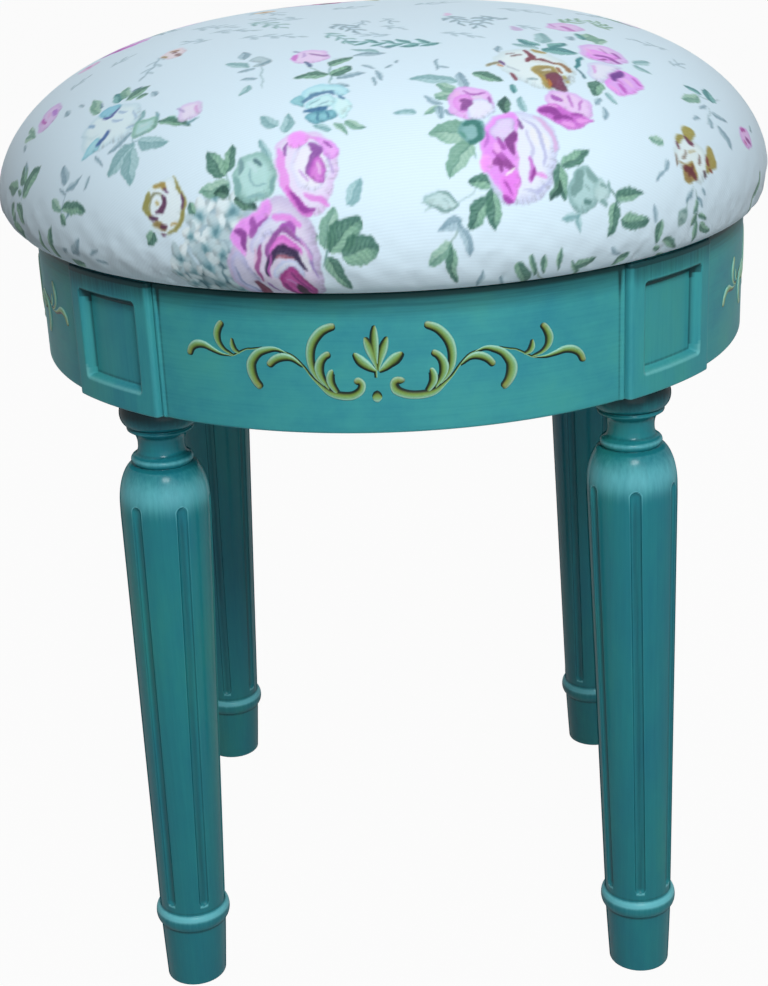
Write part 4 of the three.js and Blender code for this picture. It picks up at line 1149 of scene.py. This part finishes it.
def buildStaples():
    corner = np.array([[-1, -1], [1, -1], [1, 1], [-1, 1]]) * (staples["thick"] / 2, staples["wide"] / 2)
    box = np.array([[0, 3, 2, 1], [4, 5, 6, 7], [0, 1, 5, 4], [1, 2, 6, 5], [2, 3, 7, 6], [3, 0, 4, 7]])
    points, quads = [], []
    for radius, top, count, kept in staples["rings"]:
        for k in range(count):
            degrees = 360 * (k + 0.5) / count + 1.6 * math.sin(2.3 * k)
            if abs(degrees % 90 - 45) < kept:
                continue
            plan = corner + (radius + 0.7 * math.sin(3.1 * k), 0)
            low = np.column_stack([plan, np.full(4, top - staples["deep"])])
            quads.append(box + 8 * len(points))
            points.append(turnAboutZ(np.concatenate([low, low + (0, 0, staples["deep"])]), degrees))
    piece = makeMesh("staples_under_seat", np.concatenate(points) * mm, [np.concatenate(quads)])
    finishPiece(piece, smoothZinc, "zinc_steel")


buildStaples()


# Turned legs

leg = {
    "lean": 1.7,  # degrees outwards
    "axisRadius": 157.2,  # at the apron's underside
    "acrossFlute": 15,  # columns from edge to edge of a flute
    "besideFlute": 8,  # columns from there to halfway to the next one
    "fluteCount": 6,
    "fluteTurn": 13.0,
    "fluteHalfWidth": 2.65,
    "fluteDepth": 1.5,
    "fluteLow": 48.5,
    "fluteHigh": 271.0,
    "footHeight": 0.8,
    "glideRecess": (11.3, 2.3),  # radius and height of its ceiling
    "topHeight": 321.7,
    # wearAndPaintedLight: strength, height and width; + where hands and cloths rub (ring, shoulder,
    # bead, collar), the ring's top and the broad band round the shoulder being also a painted highlight;
    # - painted shade in the hollows between them
    "wearAndPaintedLight": ((1.0, 41.9, 1.6), (0.15, 37.5, 3.0), (0.55, 276.5, 10.0), (0.45, 291.2, 1.0), (0.25, 305.9, 0.8),
             (0.1, 313, 4.0), (-0.6, 288.3, 0.7), (-0.45, 293.6, 0.9), (-0.6, 307.4, 0.7), (-0.6, 33.4, 0.9),
             (-0.5, 44.4, 0.8), (-0.45, 303, 1.2)),
}


def ellipseArc(centreR, centreZ, halfR, halfZ, fromDegrees, toDegrees, steps=24):
    # centre plus (halfR cos a, halfZ sin a)
    a = np.radians(np.linspace(fromDegrees, toDegrees, steps))
    return np.stack([centreR + halfR * np.cos(a), centreZ + halfZ * np.sin(a)], 1)


def bentLine(start, middle, end, steps=20):
    # quadratic curve: (1 - t)^2 start + 2 t (1 - t) middle + t^2 end
    t = np.linspace(0, 1, steps)[:, None]
    return (1 - t) ** 2 * np.array(start) + 2 * t * (1 - t) * np.array(middle) + t ** 2 * np.array(end)


def legProfile():
    # Radius and height up the outside of the leg: foot, ring, tapering shaft, shoulder, bead,
    # neck, fillet and collar
    line = np.concatenate([
        [[15.3, 0.0], [15.9, 12.0], [16.9, 34.0]],
        ellipseArc(16.9, 38.7, 2.3, 4.6, -88, 88),
        [[16.95, 44.2], [17.1, 48.0], [21.8, 262.0]],
        ellipseArc(11.9, 268.0, 9.9, 21.6, 0, 62),
        ellipseArc(12.6, 290.3, 2.3, 2.3, -70, 75),
        bentLine((12.95, 292.8), (11.2, 294.2), (11.2, 296.8)),
        bentLine((11.2, 298.0), (11.3, 303.0), (14.6, 304.9)),
        ellipseArc(14.9, 305.8, 1.1, 0.9, -80, 80),
        ellipseArc(14.6, 313.6, 4.5, 6.4, -78, 60),
        [[16.8, 321.0], [16.8, 325.0]],
    ])
    length, step = lengthAlong(line), stool["spacing"]
    # rows 4 mm apart are enough along the straight shaft
    shaftStart, shaftEnd = np.interp([56, 254], line[:, 1], length)
    places = np.concatenate([np.arange(0, shaftStart, step), np.arange(shaftStart, shaftEnd, 4.0),
                             np.arange(shaftEnd, length[-1], step), [length[-1]]])
    return np.interp(places, length, line[:, 0]), np.interp(places, length, line[:, 1])


def buildLeg(corner, index):
    radius, height = legProfile()
    r, z = radius[:, None], height[:, None]
    # Each flute has the same columns. c from -1 to 1 is its own width and from 1 to 2 the way to
    # halfway to the next flute: angle = c * half / r up to 1, then on to half the pitch at 2.
    half, pitch = leg["fluteHalfWidth"], 2 * math.pi / leg["fluteCount"]
    beside = 1 + (np.arange(1, leg["besideFlute"] + 1) / leg["besideFlute"]) ** 1.7
    across = np.sin(np.linspace(-math.pi / 2, math.pi / 2, leg["acrossFlute"]))
    c = np.concatenate([-beside[-2::-1], across, beside])
    edge = np.sign(c) * half / r
    offset = np.where(np.abs(c) <= 1, c * half / r, edge + (np.abs(c) - 1) * (np.sign(c) * pitch / 2 - edge))
    turns = math.radians(leg["fluteTurn"]) + pitch * np.arange(leg["fluteCount"])
    angle = (turns[None, :, None] + offset[:, None, :]).reshape(len(radius), -1)
    rows, columns = angle.shape
    # a hollow of depth (1 - q^2)^0.6, with q the distance from its centreline over its half width
    beyond = np.maximum(0, np.maximum(leg["fluteLow"] + half - z, z - leg["fluteHigh"] + half))
    q = np.tile(np.hypot(offset * r, beyond) / half, (1, leg["fluteCount"]))
    hollow = np.clip(1 - q ** 2, 0, 1) ** 0.6
    r = r - leg["fluteDepth"] * hollow
    # it leans out, turned about the apron's underside: x cos l - up sin l, x sin l + up cos l
    lean = math.radians(leg["lean"])
    x, y = r * np.cos(angle), r * np.sin(angle)
    up = z - stool["apronUnderside"] + 0 * x
    x, up = x * math.cos(lean) - up * math.sin(lean), x * math.sin(lean) + up * math.cos(lean)
    z = np.clip(up + stool["apronUnderside"], leg["footHeight"], leg["topHeight"])
    points = np.stack([x + leg["axisRadius"], y, z], -1).reshape(-1, 3)
    # underside: from the foot's edge in to the recess of the glide, up its wall and across its ceiling
    recessRadius, recessTop = leg["glideRecess"]
    footCentre = np.array([leg["axisRadius"] + stool["apronUnderside"] * math.tan(lean), 0])
    toward = points[:columns, :2] - footCentre
    recess = footCentre + toward / np.linalg.norm(toward, axis=1)[:, None] * recessRadius
    walls = [np.column_stack([recess, np.full(columns, level)]) for level in (leg["footHeight"], recessTop)]
    points = np.concatenate([points, *walls, [[*footCentre, recessTop], points[-columns:].mean(0)]])
    around = np.arange(columns)
    last = rows * columns
    quads = [gridQuads(rows, columns, True), band(around, around + last),
             band(around + last, around + last + columns)]
    centre = last + 2 * columns
    fans = [fan(around + last + columns, centre)[:, ::-1], fan(around + last - columns, centre + 1)]
    piece = makeMesh("turned_leg_" + corner, turnAboutZ(points, 45 + 90 * index) * mm,
                     [np.concatenate(quads), np.concatenate(fans)])
    level = height[:, None] + 0 * angle
    wearAndPaintedLight = sum(strength * bell(level, at, width) for strength, at, width in leg["wearAndPaintedLight"])
    # painted shade: darker over the collar under the apron, in the flutes' hollows and in a line just inside
    # their edges
    wearAndPaintedLight = wearAndPaintedLight - 0.95 * smooth(304, 317, level) - 0.42 * hollow ** 2 - 0.5 * bell(q, 0.93, 0.07)
    # painted highlight: lighter at the rounded lower end of each flute and on the lips just beside the flutes
    foot = bell(level, leg["fluteLow"] - 0.4, 0.9) * (np.tile(np.abs(c), leg["fluteCount"])[None, :] < 0.8)
    wearAndPaintedLight = wearAndPaintedLight + 0.3 * bell(q, 1.12, 0.09) * (q > 1) + 0.6 * foot
    # the points of the underside and the top take a fixed -0.5, part way to the dark colour
    pointValue(piece, "wearAndPaintedLight", np.concatenate([wearAndPaintedLight.ravel(), np.full(len(points) - wearAndPaintedLight.size, -0.5)]))
    finishPiece(piece, legPaint, "teal_paint", "leg_" + corner)


for index, corner in enumerate(corners):
    buildLeg(corner, index)
print("legs made")


# Corner blocks

block = {
    "innerFace": 120.0,
    "edgeRound": 2.2,  # upright edges
    "rimRound": 0.9,  # upper and lower edges
    "panelWidth": 42.0,
    "panelHeight": 43.6,
    "panelDepth": 4.6,
    "panelSlope": 2.8,
    "panelLow": 331.8,
    "panelRound": 2.0,
    "boreCentre": 130.0,  # counterbore for the seat screw
    "boreRadius": 5.5,
    "boreTop": 352.9,
    "topCentre": 150.0,
}


def rounded(centre, radius, fromDegrees, toDegrees, steps):
    # an arc without its first point, and its outward directions
    turn = np.radians(np.linspace(fromDegrees, toDegrees, steps)[1:])
    out = np.stack([np.cos(turn), np.sin(turn)], 1)
    return np.array(centre) + radius * out, out


def blockOutline():
    # The block seen from above, anticlockwise from its outer face: an arc, rounded upright edges,
    # straight sides and a straight inner face. Gives points and outward directions.
    half, big = stool["blockHalfWidth"], stool["blockRadius"]
    edge, inner = block["edgeRound"], block["innerFace"]
    flatHalf = half - edge
    count = len(np.arange(-flatHalf, flatHalf + stool["spacing"] / 2, stool["spacing"]))
    y = np.linspace(-flatHalf, flatHalf, count)
    outer = np.stack([np.sqrt(big ** 2 - y ** 2), y], 1)
    edgeCentre = (math.sqrt((big - edge) ** 2 - flatHalf ** 2), flatHalf)
    upright, uprightOut = rounded(edgeCentre, edge, math.degrees(math.asin(flatHalf / big)), 90, 9)
    sideX = np.linspace(upright[-1, 0], inner + 1, 12)[1:]
    back, backOut = rounded((inner + 1, half - 1), 1, 90, 180, 5)
    faceY = np.linspace(half - 1, 0, 8)[1:]
    left = np.concatenate([upright, np.stack([sideX, np.full(len(sideX), half)], 1), back,
                           np.stack([np.full(len(faceY), inner), faceY], 1)])
    leftOut = np.concatenate([uprightOut, np.tile([0.0, 1.0], (len(sideX), 1)), backOut,
                              np.tile([-1.0, 0.0], (len(faceY), 1))])
    line = np.concatenate([outer, left, left[-2::-1] * (1, -1)])
    out = np.concatenate([outer / big, leftOut, leftOut[-2::-1] * (1, -1)])
    return line, out, count


def shadeUnderSeat(z):
    # painted shade under the overhanging seat: 1.1 of a step over the top 2 mm, 0.66 of one over 17 mm
    high = stool["apronTop"]
    return 1.1 * smooth(high - 2.8, high - 0.6, z) + 0.66 * smooth(high - 18, high - 1, z)


def buildBlock(corner, index):
    line, out, frontCount = blockOutline()
    low, high, rim = stool["apronUnderside"], stool["apronTop"], block["rimRound"]
    middle = np.linspace(low + rim, high - rim, int((high - low) / stool["spacing"]))
    quarter = np.radians(np.linspace(0, 90, 6))
    heights = np.concatenate([low + rim - rim * np.cos(quarter[:-1]), middle,
                              high - rim + rim * np.sin(quarter[1:])])
    insets = np.concatenate([rim - rim * np.sin(quarter[:-1]), 0 * middle, rim - rim * np.cos(quarter[1:])])
    x, y = (line[None, :, k] - insets[:, None] * out[None, :, k] for k in range(2))
    z = heights[:, None] + 0 * x
    # sunk panel: with s the share of the wall's slope reached, inwards from a rounded rectangle, the
    # depth is (0.35 s + 0.65 s^2 (3 - 2 s)) of the whole
    centreZ, turned = block["panelLow"] + block["panelHeight"] / 2, block["panelRound"]
    pastY = np.abs(y) - (block["panelWidth"] / 2 - turned)
    pastZ = np.abs(z - centreZ) - (block["panelHeight"] / 2 - turned)
    outside = np.hypot(np.maximum(0, pastY), np.maximum(0, pastZ))
    away = outside + np.minimum(0, np.maximum(pastY, pastZ)) - turned
    share = np.clip(-away / block["panelSlope"], 0, 1)
    front = (np.arange(len(line)) < frontCount)[None, :]
    sunk = block["panelDepth"] * (0.35 * share + 0.65 * share * share * (3 - 2 * share)) * front
    grid = np.stack([x - sunk * out[None, :, 0], y - sunk * out[None, :, 1], z], -1).reshape(-1, 3)
    rows, columns = z.shape
    # underside: from the outline in to the counterbore, up it, and closed where the screw head sits
    bore = np.array([block["boreCentre"], 0])
    toward = grid[:columns, :2] - bore
    toward = toward / np.linalg.norm(toward, axis=1)[:, None]
    wall = bore + toward * block["boreRadius"]
    rings = [(grid[:columns, :2] - 0.8 * out, low), (bore + toward * (block["boreRadius"] + 0.8), low),
             (wall, low + 0.5), (wall, low + 1.5), (wall, block["boreTop"])]
    points, faces = [grid], [gridQuads(rows, columns, True)]
    around = np.arange(columns)
    first, previous = rows * columns, around
    for ring, level in rings:
        points.append(np.column_stack([ring, np.full(columns, level)]))
        faces.append(band(previous, first + around))
        previous = first + around
        first += columns
    points.append([[*bore, block["boreTop"]]])
    bottom = fan(previous, first)[:, ::-1]
    # top
    edge, ring = around + (rows - 1) * columns, first + 1 + around
    points.append(np.column_stack([grid[-columns:, :2] - 0.8 * out, np.full(columns, high)]))
    points.append([[block["topCentre"], 0, high]])
    faces.append(band(edge, ring)[:, [0, 3, 2, 1]])
    points = np.concatenate(points)
    piece = makeMesh("corner_block_panelled_" + corner, turnAboutZ(points, 45 + 90 * index) * mm,
                     [np.concatenate(faces), np.concatenate([bottom, fan(ring, first + 1 + columns)])])
    # wearAndPaintedLight: the rounded edges are lighter, rubbed and a painted highlight, and the
    # panel's rim is lighter, most of all along its lower lip, as a painted highlight; the panel's foot
    # is painted shade, darkest along its top
    upright = bell(np.abs(line[:, 1]), stool["blockHalfWidth"] - 0.9, 1.1) * (line[:, 0] > 170)
    wearAndPaintedLight = 0.2 * upright[None, :] + 0.25 * bell(z, low, 1.2)
    wearAndPaintedLight = wearAndPaintedLight + bell(away, -0.2, 0.8) * front * np.where(z < centreZ - 15, 0.6, 0.25)
    foot = bell(away, -block["panelSlope"] - 0.2, 0.9) * front
    wearAndPaintedLight = wearAndPaintedLight - foot * np.where(z > centreZ + 15, 1.0, 0.55)
    # painted light on the panel's sloping walls: the lower wall lighter, the upper one darker, all a little
    # darker; and painted shade under the seat
    slope = (away < 0) * (away > -block["panelSlope"]) * front
    wearAndPaintedLight = wearAndPaintedLight + slope * (0.3 * (z < centreZ - 17) - 0.5 * (z > centreZ + 17) - 0.12) - shadeUnderSeat(z)
    pointValue(piece, "wearAndPaintedLight", np.concatenate([wearAndPaintedLight.ravel(), np.full(len(points) - wearAndPaintedLight.size, -0.1)]))
    finishPiece(piece, blockPaint, "teal_paint", "corner_block_" + corner)


for index, corner in enumerate(corners):
    buildBlock(corner, index)
print("corner blocks made")


# Curved rails

rail = {
    "thickness": 20.0,
    "columns": 260,
    "edgeRound": 1.2,
    "stripWidth": 2.0,
    "stripHeight": 0.7,
}


def buildRail(side, index):
    # The rail's section is a rounded rectangle in radius and height, carried along an arc whose
    # ends are cut parallel to the blocks: end angle = 45 degrees - asin(half width / radius)
    outer, inner = stool["railRadius"], stool["railRadius"] - rail["thickness"]
    low, high, edge = stool["apronUnderside"], stool["apronTop"], rail["edgeRound"]
    section = np.concatenate([
        np.stack([np.full(60, outer), np.linspace(low + edge, high - edge, 60)], 1),
        ellipseArc(outer - edge, high - edge, edge, edge, 0, 90, 7)[1:],
        np.stack([np.linspace(outer - edge, inner + edge, 6)[1:], np.full(5, high)], 1),
        ellipseArc(inner + edge, high - edge, edge, edge, 90, 180, 7)[1:],
        np.stack([np.full(8, inner), np.linspace(high - edge, low + edge, 9)[1:]], 1),
        ellipseArc(inner + edge, low + edge, edge, edge, 180, 270, 7)[1:],
        np.stack([np.linspace(inner + edge, outer - edge, 6)[1:], np.full(5, low)], 1),
        ellipseArc(outer - edge, low + edge, edge, edge, 270, 360, 7)[1:-1],
    ])
    # columns are closer together at both ends, where the strips are
    u = np.linspace(-1, 1, rail["columns"])
    u = (np.sign(u) * (1 - (1 - np.abs(u)) ** 1.35))[None, :]
    radius, z = section[:, :1], section[:, 1:] + 0 * u
    end = math.pi / 4 - np.arcsin((stool["blockHalfWidth"] + stool["fitGap"]) / radius)
    angle, fromEnd = u * end, (1 - np.abs(u)) * end * radius
    # the moulded strip at each end is half round: sqrt(1 - q^2), q from its middle over its half width
    q = np.clip(np.abs(fromEnd - rail["stripWidth"] / 2) / (rail["stripWidth"] / 2), 0, 1)
    strip = np.sqrt(1 - q ** 2) * smooth(outer - 2, outer, radius)
    r = radius + rail["stripHeight"] * strip
    rows, columns = z.shape
    # quads run along the arc; the section goes round and closes
    flat = np.stack([r * np.cos(angle), r * np.sin(angle), z], -1).transpose(1, 0, 2).reshape(-1, 3)
    flat = np.concatenate([flat, [flat[:rows].mean(0), flat[-rows:].mean(0)]])
    loop, centre = np.arange(rows), rows * columns
    triangles = np.concatenate([fan(loop, centre), fan(loop + centre - rows, centre + 1)[:, ::-1]])
    piece = makeMesh("curved_rail_" + side, turnAboutZ(flat, 90 * index) * mm,
                     [gridQuads(columns, rows, True)[:, ::-1], triangles])
    along = (angle * radius).T
    brushMap = np.stack([along, lengthAlong(section)[None, :] + 0 * along], -1).reshape(-1, 2) * mm
    cornerMap(piece, "brush", np.concatenate([brushMap, [[0, 0], [0, 0]]]) + 0.31 * index)
    # wearAndPaintedLight: the end strips and the lower outer edge are lighter, rubbed and a painted
    # highlight; just past each strip and at the very end it is darker, painted shade in the joint with the
    # block; the top is painted shade under the seat
    wearAndPaintedLight = 0.15 * strip + 0.3 * bell(z, low + 0.2, 0.9) * (radius > outer - 1)
    wearAndPaintedLight = wearAndPaintedLight - 0.45 * bell(fromEnd, 3.0, 0.8) - 0.5 * bell(fromEnd, 0, 0.5) - shadeUnderSeat(z)
    pointValue(piece, "wearAndPaintedLight", np.concatenate([wearAndPaintedLight.T.ravel(), [-0.1, -0.1]]))
    finishPiece(piece, railPaint, "teal_paint", "apron_rail_" + side)


for index, side in enumerate(sides):
    buildRail(side, index)
print("rails made")


# Scroll and leaf ornament, raised a little on each rail and painted in greens

scroll = {
    "centre": {"front": -4.6, "left": 9.5},  # mm along the rail, not quite in the middle
    "droop": {"front": (0.0, 8.5), "right": (8.5, 0.0), "left": (0.0, 3.0)},  # mm at the two ends
    # the front one's right half is not quite the mirror of its left: mm outwards at mm from the centre
    "astray": ([0, 8, 16, 32, 55, 70, 89], [-1.4, -2.4, 1.4, 1.6, 0.4, 2.4, 4.8]),
    "rise": 0.2,  # height as a share of the stroke's width
    "most": 0.65,
    "stretch": 1.04,  # brushed a little wider than the bare relief
    "steps": 7,  # between two given points
    # across each stroke, from the shadow line on its inner side to the lit outer side
    "across": np.array([-1.42, -1.28, -0.98, -0.74, -0.4, -0.05, 0.3, 0.62, 0.86, 1.0]),
    "tones": ((-1.42, "#1f6266"), (-1.3, "#0f2c31"), (-1.0, "#141f18"), (-0.75, "#566a34"), (-0.4, "#77994e"),
              (0.0, "#84b071"), (0.4, "#84bd94"), (0.75, "#b6e6d2"), (1.0, "#5aa79c")),
    "ripe": "#9a8f4c",
    "tip": "#22382f",
}

# outwards from the centre, height above the floor, width; mirrored on the other half
scrollStrokes = """
66.6 355.9 .4 71 356.4 .8 75.3 358 1.7 79.7 359.9 2.7 83.8 359.9 3.2 86.9 357.8 2.8 88.4 354.2 2.4;
65.5 356.1 .5 69.7 358 1.2 72.5 361.3 2.2 73.2 365.3 3 71.8 368.9 2.8 69.8 371.1 2.2;
62.2 357.1 .5 64.7 358.4 1.7 65.9 360.9 1.9 65.9 363.9 .5;
51.4 360.4 .4 56.1 359.5 .5 58.8 359.2 .5 61.8 357.8 .6 65.5 355.9 .5 68 355.9 .4;
40.5 358.6 .5 44.8 360.2 1.3 48.8 360 2.4 53.6 358.2 3.2 57.1 353.9 3.8 57.4 349.4 3.9 55.7 344.9 3.2 53
341.8 2.8; 33.2 352.6 .5 37.5 356 1.7 41.9 357 3.1 46.1 355.6 3.1 49.4 352.4 2.6;
41.8 359 .4 37.4 357 .5 33.2 352.6 .6 30 348.1 .7 26.3 344.2 1.4 22.1 340.7 2.6 16.8 339.2 3.1 11.9 339.4
3.1 8.4 341.7 2.9 7.6 344.8 2.6 9.4 346.6 2.6 11 345.2 2.6;
24.3 344.2 .6 28 348.7 2.1 29.9 353.7 2.9 30.1 359.1 3.4 28.6 364.1 3.7 24.9 368.6 3.5 20.9 370.6 3 18.3
370.9 2.5; 22.3 342.6 .8 25.6 347.7 2.6 26.6 351.7 3.6 25.7 355.2 3.2 23.6 357.7 2.7 21.1 358.8 2.5;
19 341 1.6 21.4 344.7 2.8 21.9 347.8 3.1 21.1 350.3 2.4 20.1 350.8 2.2;
1.2 350.4 .6 4.2 352.6 3 7.4 355.2 4 9.6 357.6 2.6 10.9 358.9 .6;
1 350.8 .6 2.2 355.4 2.6 3.8 359.8 3.9 5.2 363.4 2.8 6 365.8 .6
"""
centreStrokes = """
0 347.6 .7 0 353 1.2 0 358.6 2.8 0 363.6 3.5 0 368 2.6 0 371 .6;
-2.3 338.7 .6 -1.6 338.7 3.2 0 338.7 4.6 1.6 338.7 3.2 2.3 338.7 .6
"""


def scrollStroke(text, half, side):
    # One stroke as a closed flat tube. Its middle line is a smooth curve through the points;
    # across it the height is rise * width * (1 - u^2)^0.6, and its back lies inside the rail.
    given = readNumbers(text).reshape(-1, 3)
    line = curveThrough(given, False, scroll["steps"])
    line, width = line[:, :2], np.maximum(line[:, 2] * scroll["stretch"], 0.3)
    # blunt ends are rounded: sqrt(1 - (1 - 2 d / w)^2) of the width at d from the end
    left = lengthAlong(line[::-1])[::-1]
    width = width * np.maximum(0.3, np.sqrt(1 - (1 - np.clip(2 * left / width, 0, 1)) ** 2))
    along = np.gradient(line, axis=0)
    along = along / np.linalg.norm(along, axis=1)[:, None]
    # its lit side is the outer side of its bend, or the inner one where it starts at the centre
    turning = cross(along[:-1], along[1:]).sum()
    outward = np.stack([along[:, 1], -along[:, 0]], 1) * (1 if turning > 0.02 else -1)
    if given[0, 0] < 2:
        outward = -outward
    across = scroll["across"]
    u = np.concatenate([across, [0.7, -1.0]])
    crest = (1 - np.clip(across, -1, 1) ** 2) ** 0.6
    # both edges dip just inside the rail's face, and the flat back lies 0.5 mm inside it
    tall = np.minimum(width * scroll["rise"], scroll["most"])[:, None]
    height = np.concatenate([tall * crest + 0.04, np.full((len(line), 2), -0.5)], 1)
    height[:, 0] = -0.06
    height[:, len(across) - 1] = -0.1
    # the shadow line is as wide on every stroke
    shadow = -1 - (-1 - u) * 4.6 / np.maximum(width[:, None], 0.9)
    reach = np.where(u < -1, shadow, u + 0 * width[:, None])
    flat = line[:, None, :] + outward[:, None, :] * (reach * width[:, None] / 2)[..., None]
    away, z = flat[..., 0], flat[..., 1]
    droop = scroll["droop"].get(side, (0, 0))[0 if half < 0 else 1]
    if side == "front" and half > 0:
        away = away + np.interp(away, *scroll["astray"])
    angle = (scroll["centre"].get(side, 0.0) + half * away) / stool["railRadius"]
    z = z - droop * (away / 88) ** 2
    r = stool["railRadius"] + height
    points = np.stack([r * np.cos(angle), r * np.sin(angle), z], -1)
    rows, columns = z.shape
    quads, loop, count = gridQuads(rows, columns, True), np.arange(columns), rows * columns
    ends = np.stack([points[0].mean(0), points[-1].mean(0)])
    points = np.concatenate([points.reshape(-1, 3), ends])
    triangles = np.concatenate([fan(loop, count)[:, ::-1], fan(loop + count - columns, count + 1)])
    # its faces are turned round where the middle one looks into the rail
    middle = (rows // 2) * columns + columns // 2 - 2
    a, b, c = points[middle], points[middle + 1], points[middle + columns]
    if np.cross(b - a, c - a)[0] < 0:
        quads, triangles = quads[:, ::-1], triangles[:, ::-1]
    places = [place for place, tone in scroll["tones"]]
    tones = np.array([linear(tone) for place, tone in scroll["tones"]])
    colour = np.stack([np.interp(u, places, tones[:, k]) for k in range(3)], 1)[None] + np.zeros((rows, 1, 1))
    # the last quarter of a stroke is riper, and its very tip is dark
    t = np.linspace(0, 1, rows)[:, None, None]
    ripe = 0.45 * smooth(0.72, 1.0, t) * (u > -0.8)[None, :, None]
    colour = colour * (1 - ripe) + linear(scroll["ripe"]) * ripe
    tip = 0.75 * smooth(0.93, 1.0, t)
    colour = colour * (1 - tip) + linear(scroll["tip"]) * tip
    return points, quads, triangles, np.concatenate([colour.reshape(-1, 3), colour[[0, -1], 5]])


def buildScroll(side, index):
    strokes = [(text, half) for text in itemsOf(scrollStrokes) for half in (-1, 1)]
    strokes += [(text, 1) for text in itemsOf(centreStrokes)]
    points, quads, triangles, colours = zip(*[scrollStroke(text, half, side) for text, half in strokes])
    firsts = np.cumsum([0] + [len(p) for p in points[:-1]])
    faceSets = [np.concatenate([f + first for f, first in zip(faces, firsts)])
                for faces in (quads, triangles)]
    piece = makeMesh("scroll_relief_" + side, turnAboutZ(np.concatenate(points), 90 * index) * mm, faceSets)
    pointColour(piece, "paint", np.concatenate(colours))
    finishPiece(piece, scrollPaint, "teal_paint")


for index, side in enumerate(sides):
    buildScroll(side, index)
print("ornament made")


# Camera, floor and light

# fitted to the stool's edges in the photo: metres from its middle, degrees, and the lens in pixels
view = {"distance": 0.9042, "height": 0.5825, "azimuth": 0.7315, "yaw": 0.5889, "pitch": 21.69,
        "roll": -2.596, "focalPixels": 1770.03, "longSidePixels": 986, "sensorWidth": 36}


def placeCamera():
    azimuth, turn, pitch, roll = (math.radians(view[k]) for k in ("azimuth", "yaw", "pitch", "roll"))
    at = Vector((view["distance"] * math.sin(azimuth), -view["distance"] * math.cos(azimuth), view["height"]))
    heading = azimuth + turn
    forward = Vector((-math.sin(heading) * math.cos(pitch), math.cos(heading) * math.cos(pitch),
                      -math.sin(pitch)))
    level = Vector((math.cos(heading), math.sin(heading), 0))
    upward = level.cross(forward)
    right = math.cos(roll) * level + math.sin(roll) * upward
    up = -math.sin(roll) * level + math.cos(roll) * upward
    data = bpy.data.cameras.new("photo_camera")
    data.sensor_width = view["sensorWidth"]
    data.lens = view["focalPixels"] * view["sensorWidth"] / view["longSidePixels"]
    camera = bpy.data.objects.new("photo_camera", data)
    camera.matrix_world = Matrix.Translation(at) @ Matrix((right, up, -forward)).transposed().to_4x4()
    bpy.context.scene.collection.objects.link(camera)
    bpy.context.scene.camera = camera


light = {
    # name: watts, width, height and distance in metres, degrees up and degrees to the right
    "lamps": {
        "window_softbox": (9.2, 0.42, 0.3, 1.5, 37, 9),
        "overhead_softbox": (15.0, 2.2, 2.2, 1.6, 84, 0),
        "front_softbox": (2.0, 0.8, 0.8, 0.95, 12, 15),
        "back_softbox": (3.2, 1.0, 1.0, 1.5, 28, 180),
    },
    "aim": 0.3,  # metres above the floor
    "sky": 0.05,
    "floor": "#9c9c9a",
    "floorWhite": 0.96,
    "floorReach": 6,
}


def softbox(name, watts, width, tall, distance, height, side):
    # an area light on a sphere round the stool, facing it
    data = bpy.data.lights.new(name, "AREA")
    data.shape = "RECTANGLE"
    data.energy, data.size, data.size_y = watts, width, tall
    up, turn = math.radians(height), math.radians(side)
    away = Vector((math.sin(turn) * math.cos(up), -math.cos(turn) * math.cos(up), math.sin(up)))
    lamp = bpy.data.objects.new(name, data)
    lamp.location = Vector((0, 0, light["aim"])) + away * distance
    lamp.rotation_euler = away.to_track_quat("Z", "Y").to_euler()
    bpy.context.scene.collection.objects.link(lamp)


def seenShare(tree):
    # 1 for camera, glossy and transmitted rays, 0 for the rest
    path = addNode(tree, "LightPath").outputs
    some = addNode(tree, "Math", {0: path["Is Camera Ray"], 1: path["Is Glossy Ray"]}, operation="MAXIMUM")
    return addNode(tree, "Math", {0: some.outputs[0], 1: path["Is Transmission Ray"]},
                   operation="MAXIMUM").outputs[0]


def studio():
    # a dim white room that the camera sees as white, on a grey floor that it sees almost as white
    for name, numbers in light["lamps"].items():
        softbox(name, *numbers)
    world = bpy.data.worlds.new("white_room")
    bpy.context.scene.world = world
    world.use_nodes = True
    tree = world.node_tree
    tree.nodes.clear()
    glow = remap(tree, seenShare(tree), 0.0, 1.0, light["sky"], 1.0)
    back = addNode(tree, "Background", {"Color": "#ffffff", "Strength": glow})
    tree.links.new(back.outputs[0], addNode(tree, "OutputWorld").inputs["Surface"])
    far = light["floorReach"]
    floor = makeMesh("studio_floor", [[-far, -far, 0], [far, -far, 0], [far, far, 0], [-far, far, 0]],
                     [np.array([[0, 1, 2, 3]])])
    material, tree = newMaterial("pale_floor")
    matt = addNode(tree, "BsdfPrincipled", {"Base Color": light["floor"], "Roughness": 0.9})
    white = addNode(tree, "Emission", {"Color": "#ffffff", "Strength": 1.0})
    share = addNode(tree, "Math", {0: seenShare(tree), 1: light["floorWhite"]}, operation="MULTIPLY")
    both = addNode(tree, "MixShader", {0: share.outputs[0], 1: matt.outputs[0], 2: white.outputs[0]})
    closeMaterial(tree, both)
    floor.data.materials.append(material)


placeCamera()
studio()
bpy.context.scene.view_settings.view_transform = "Standard"
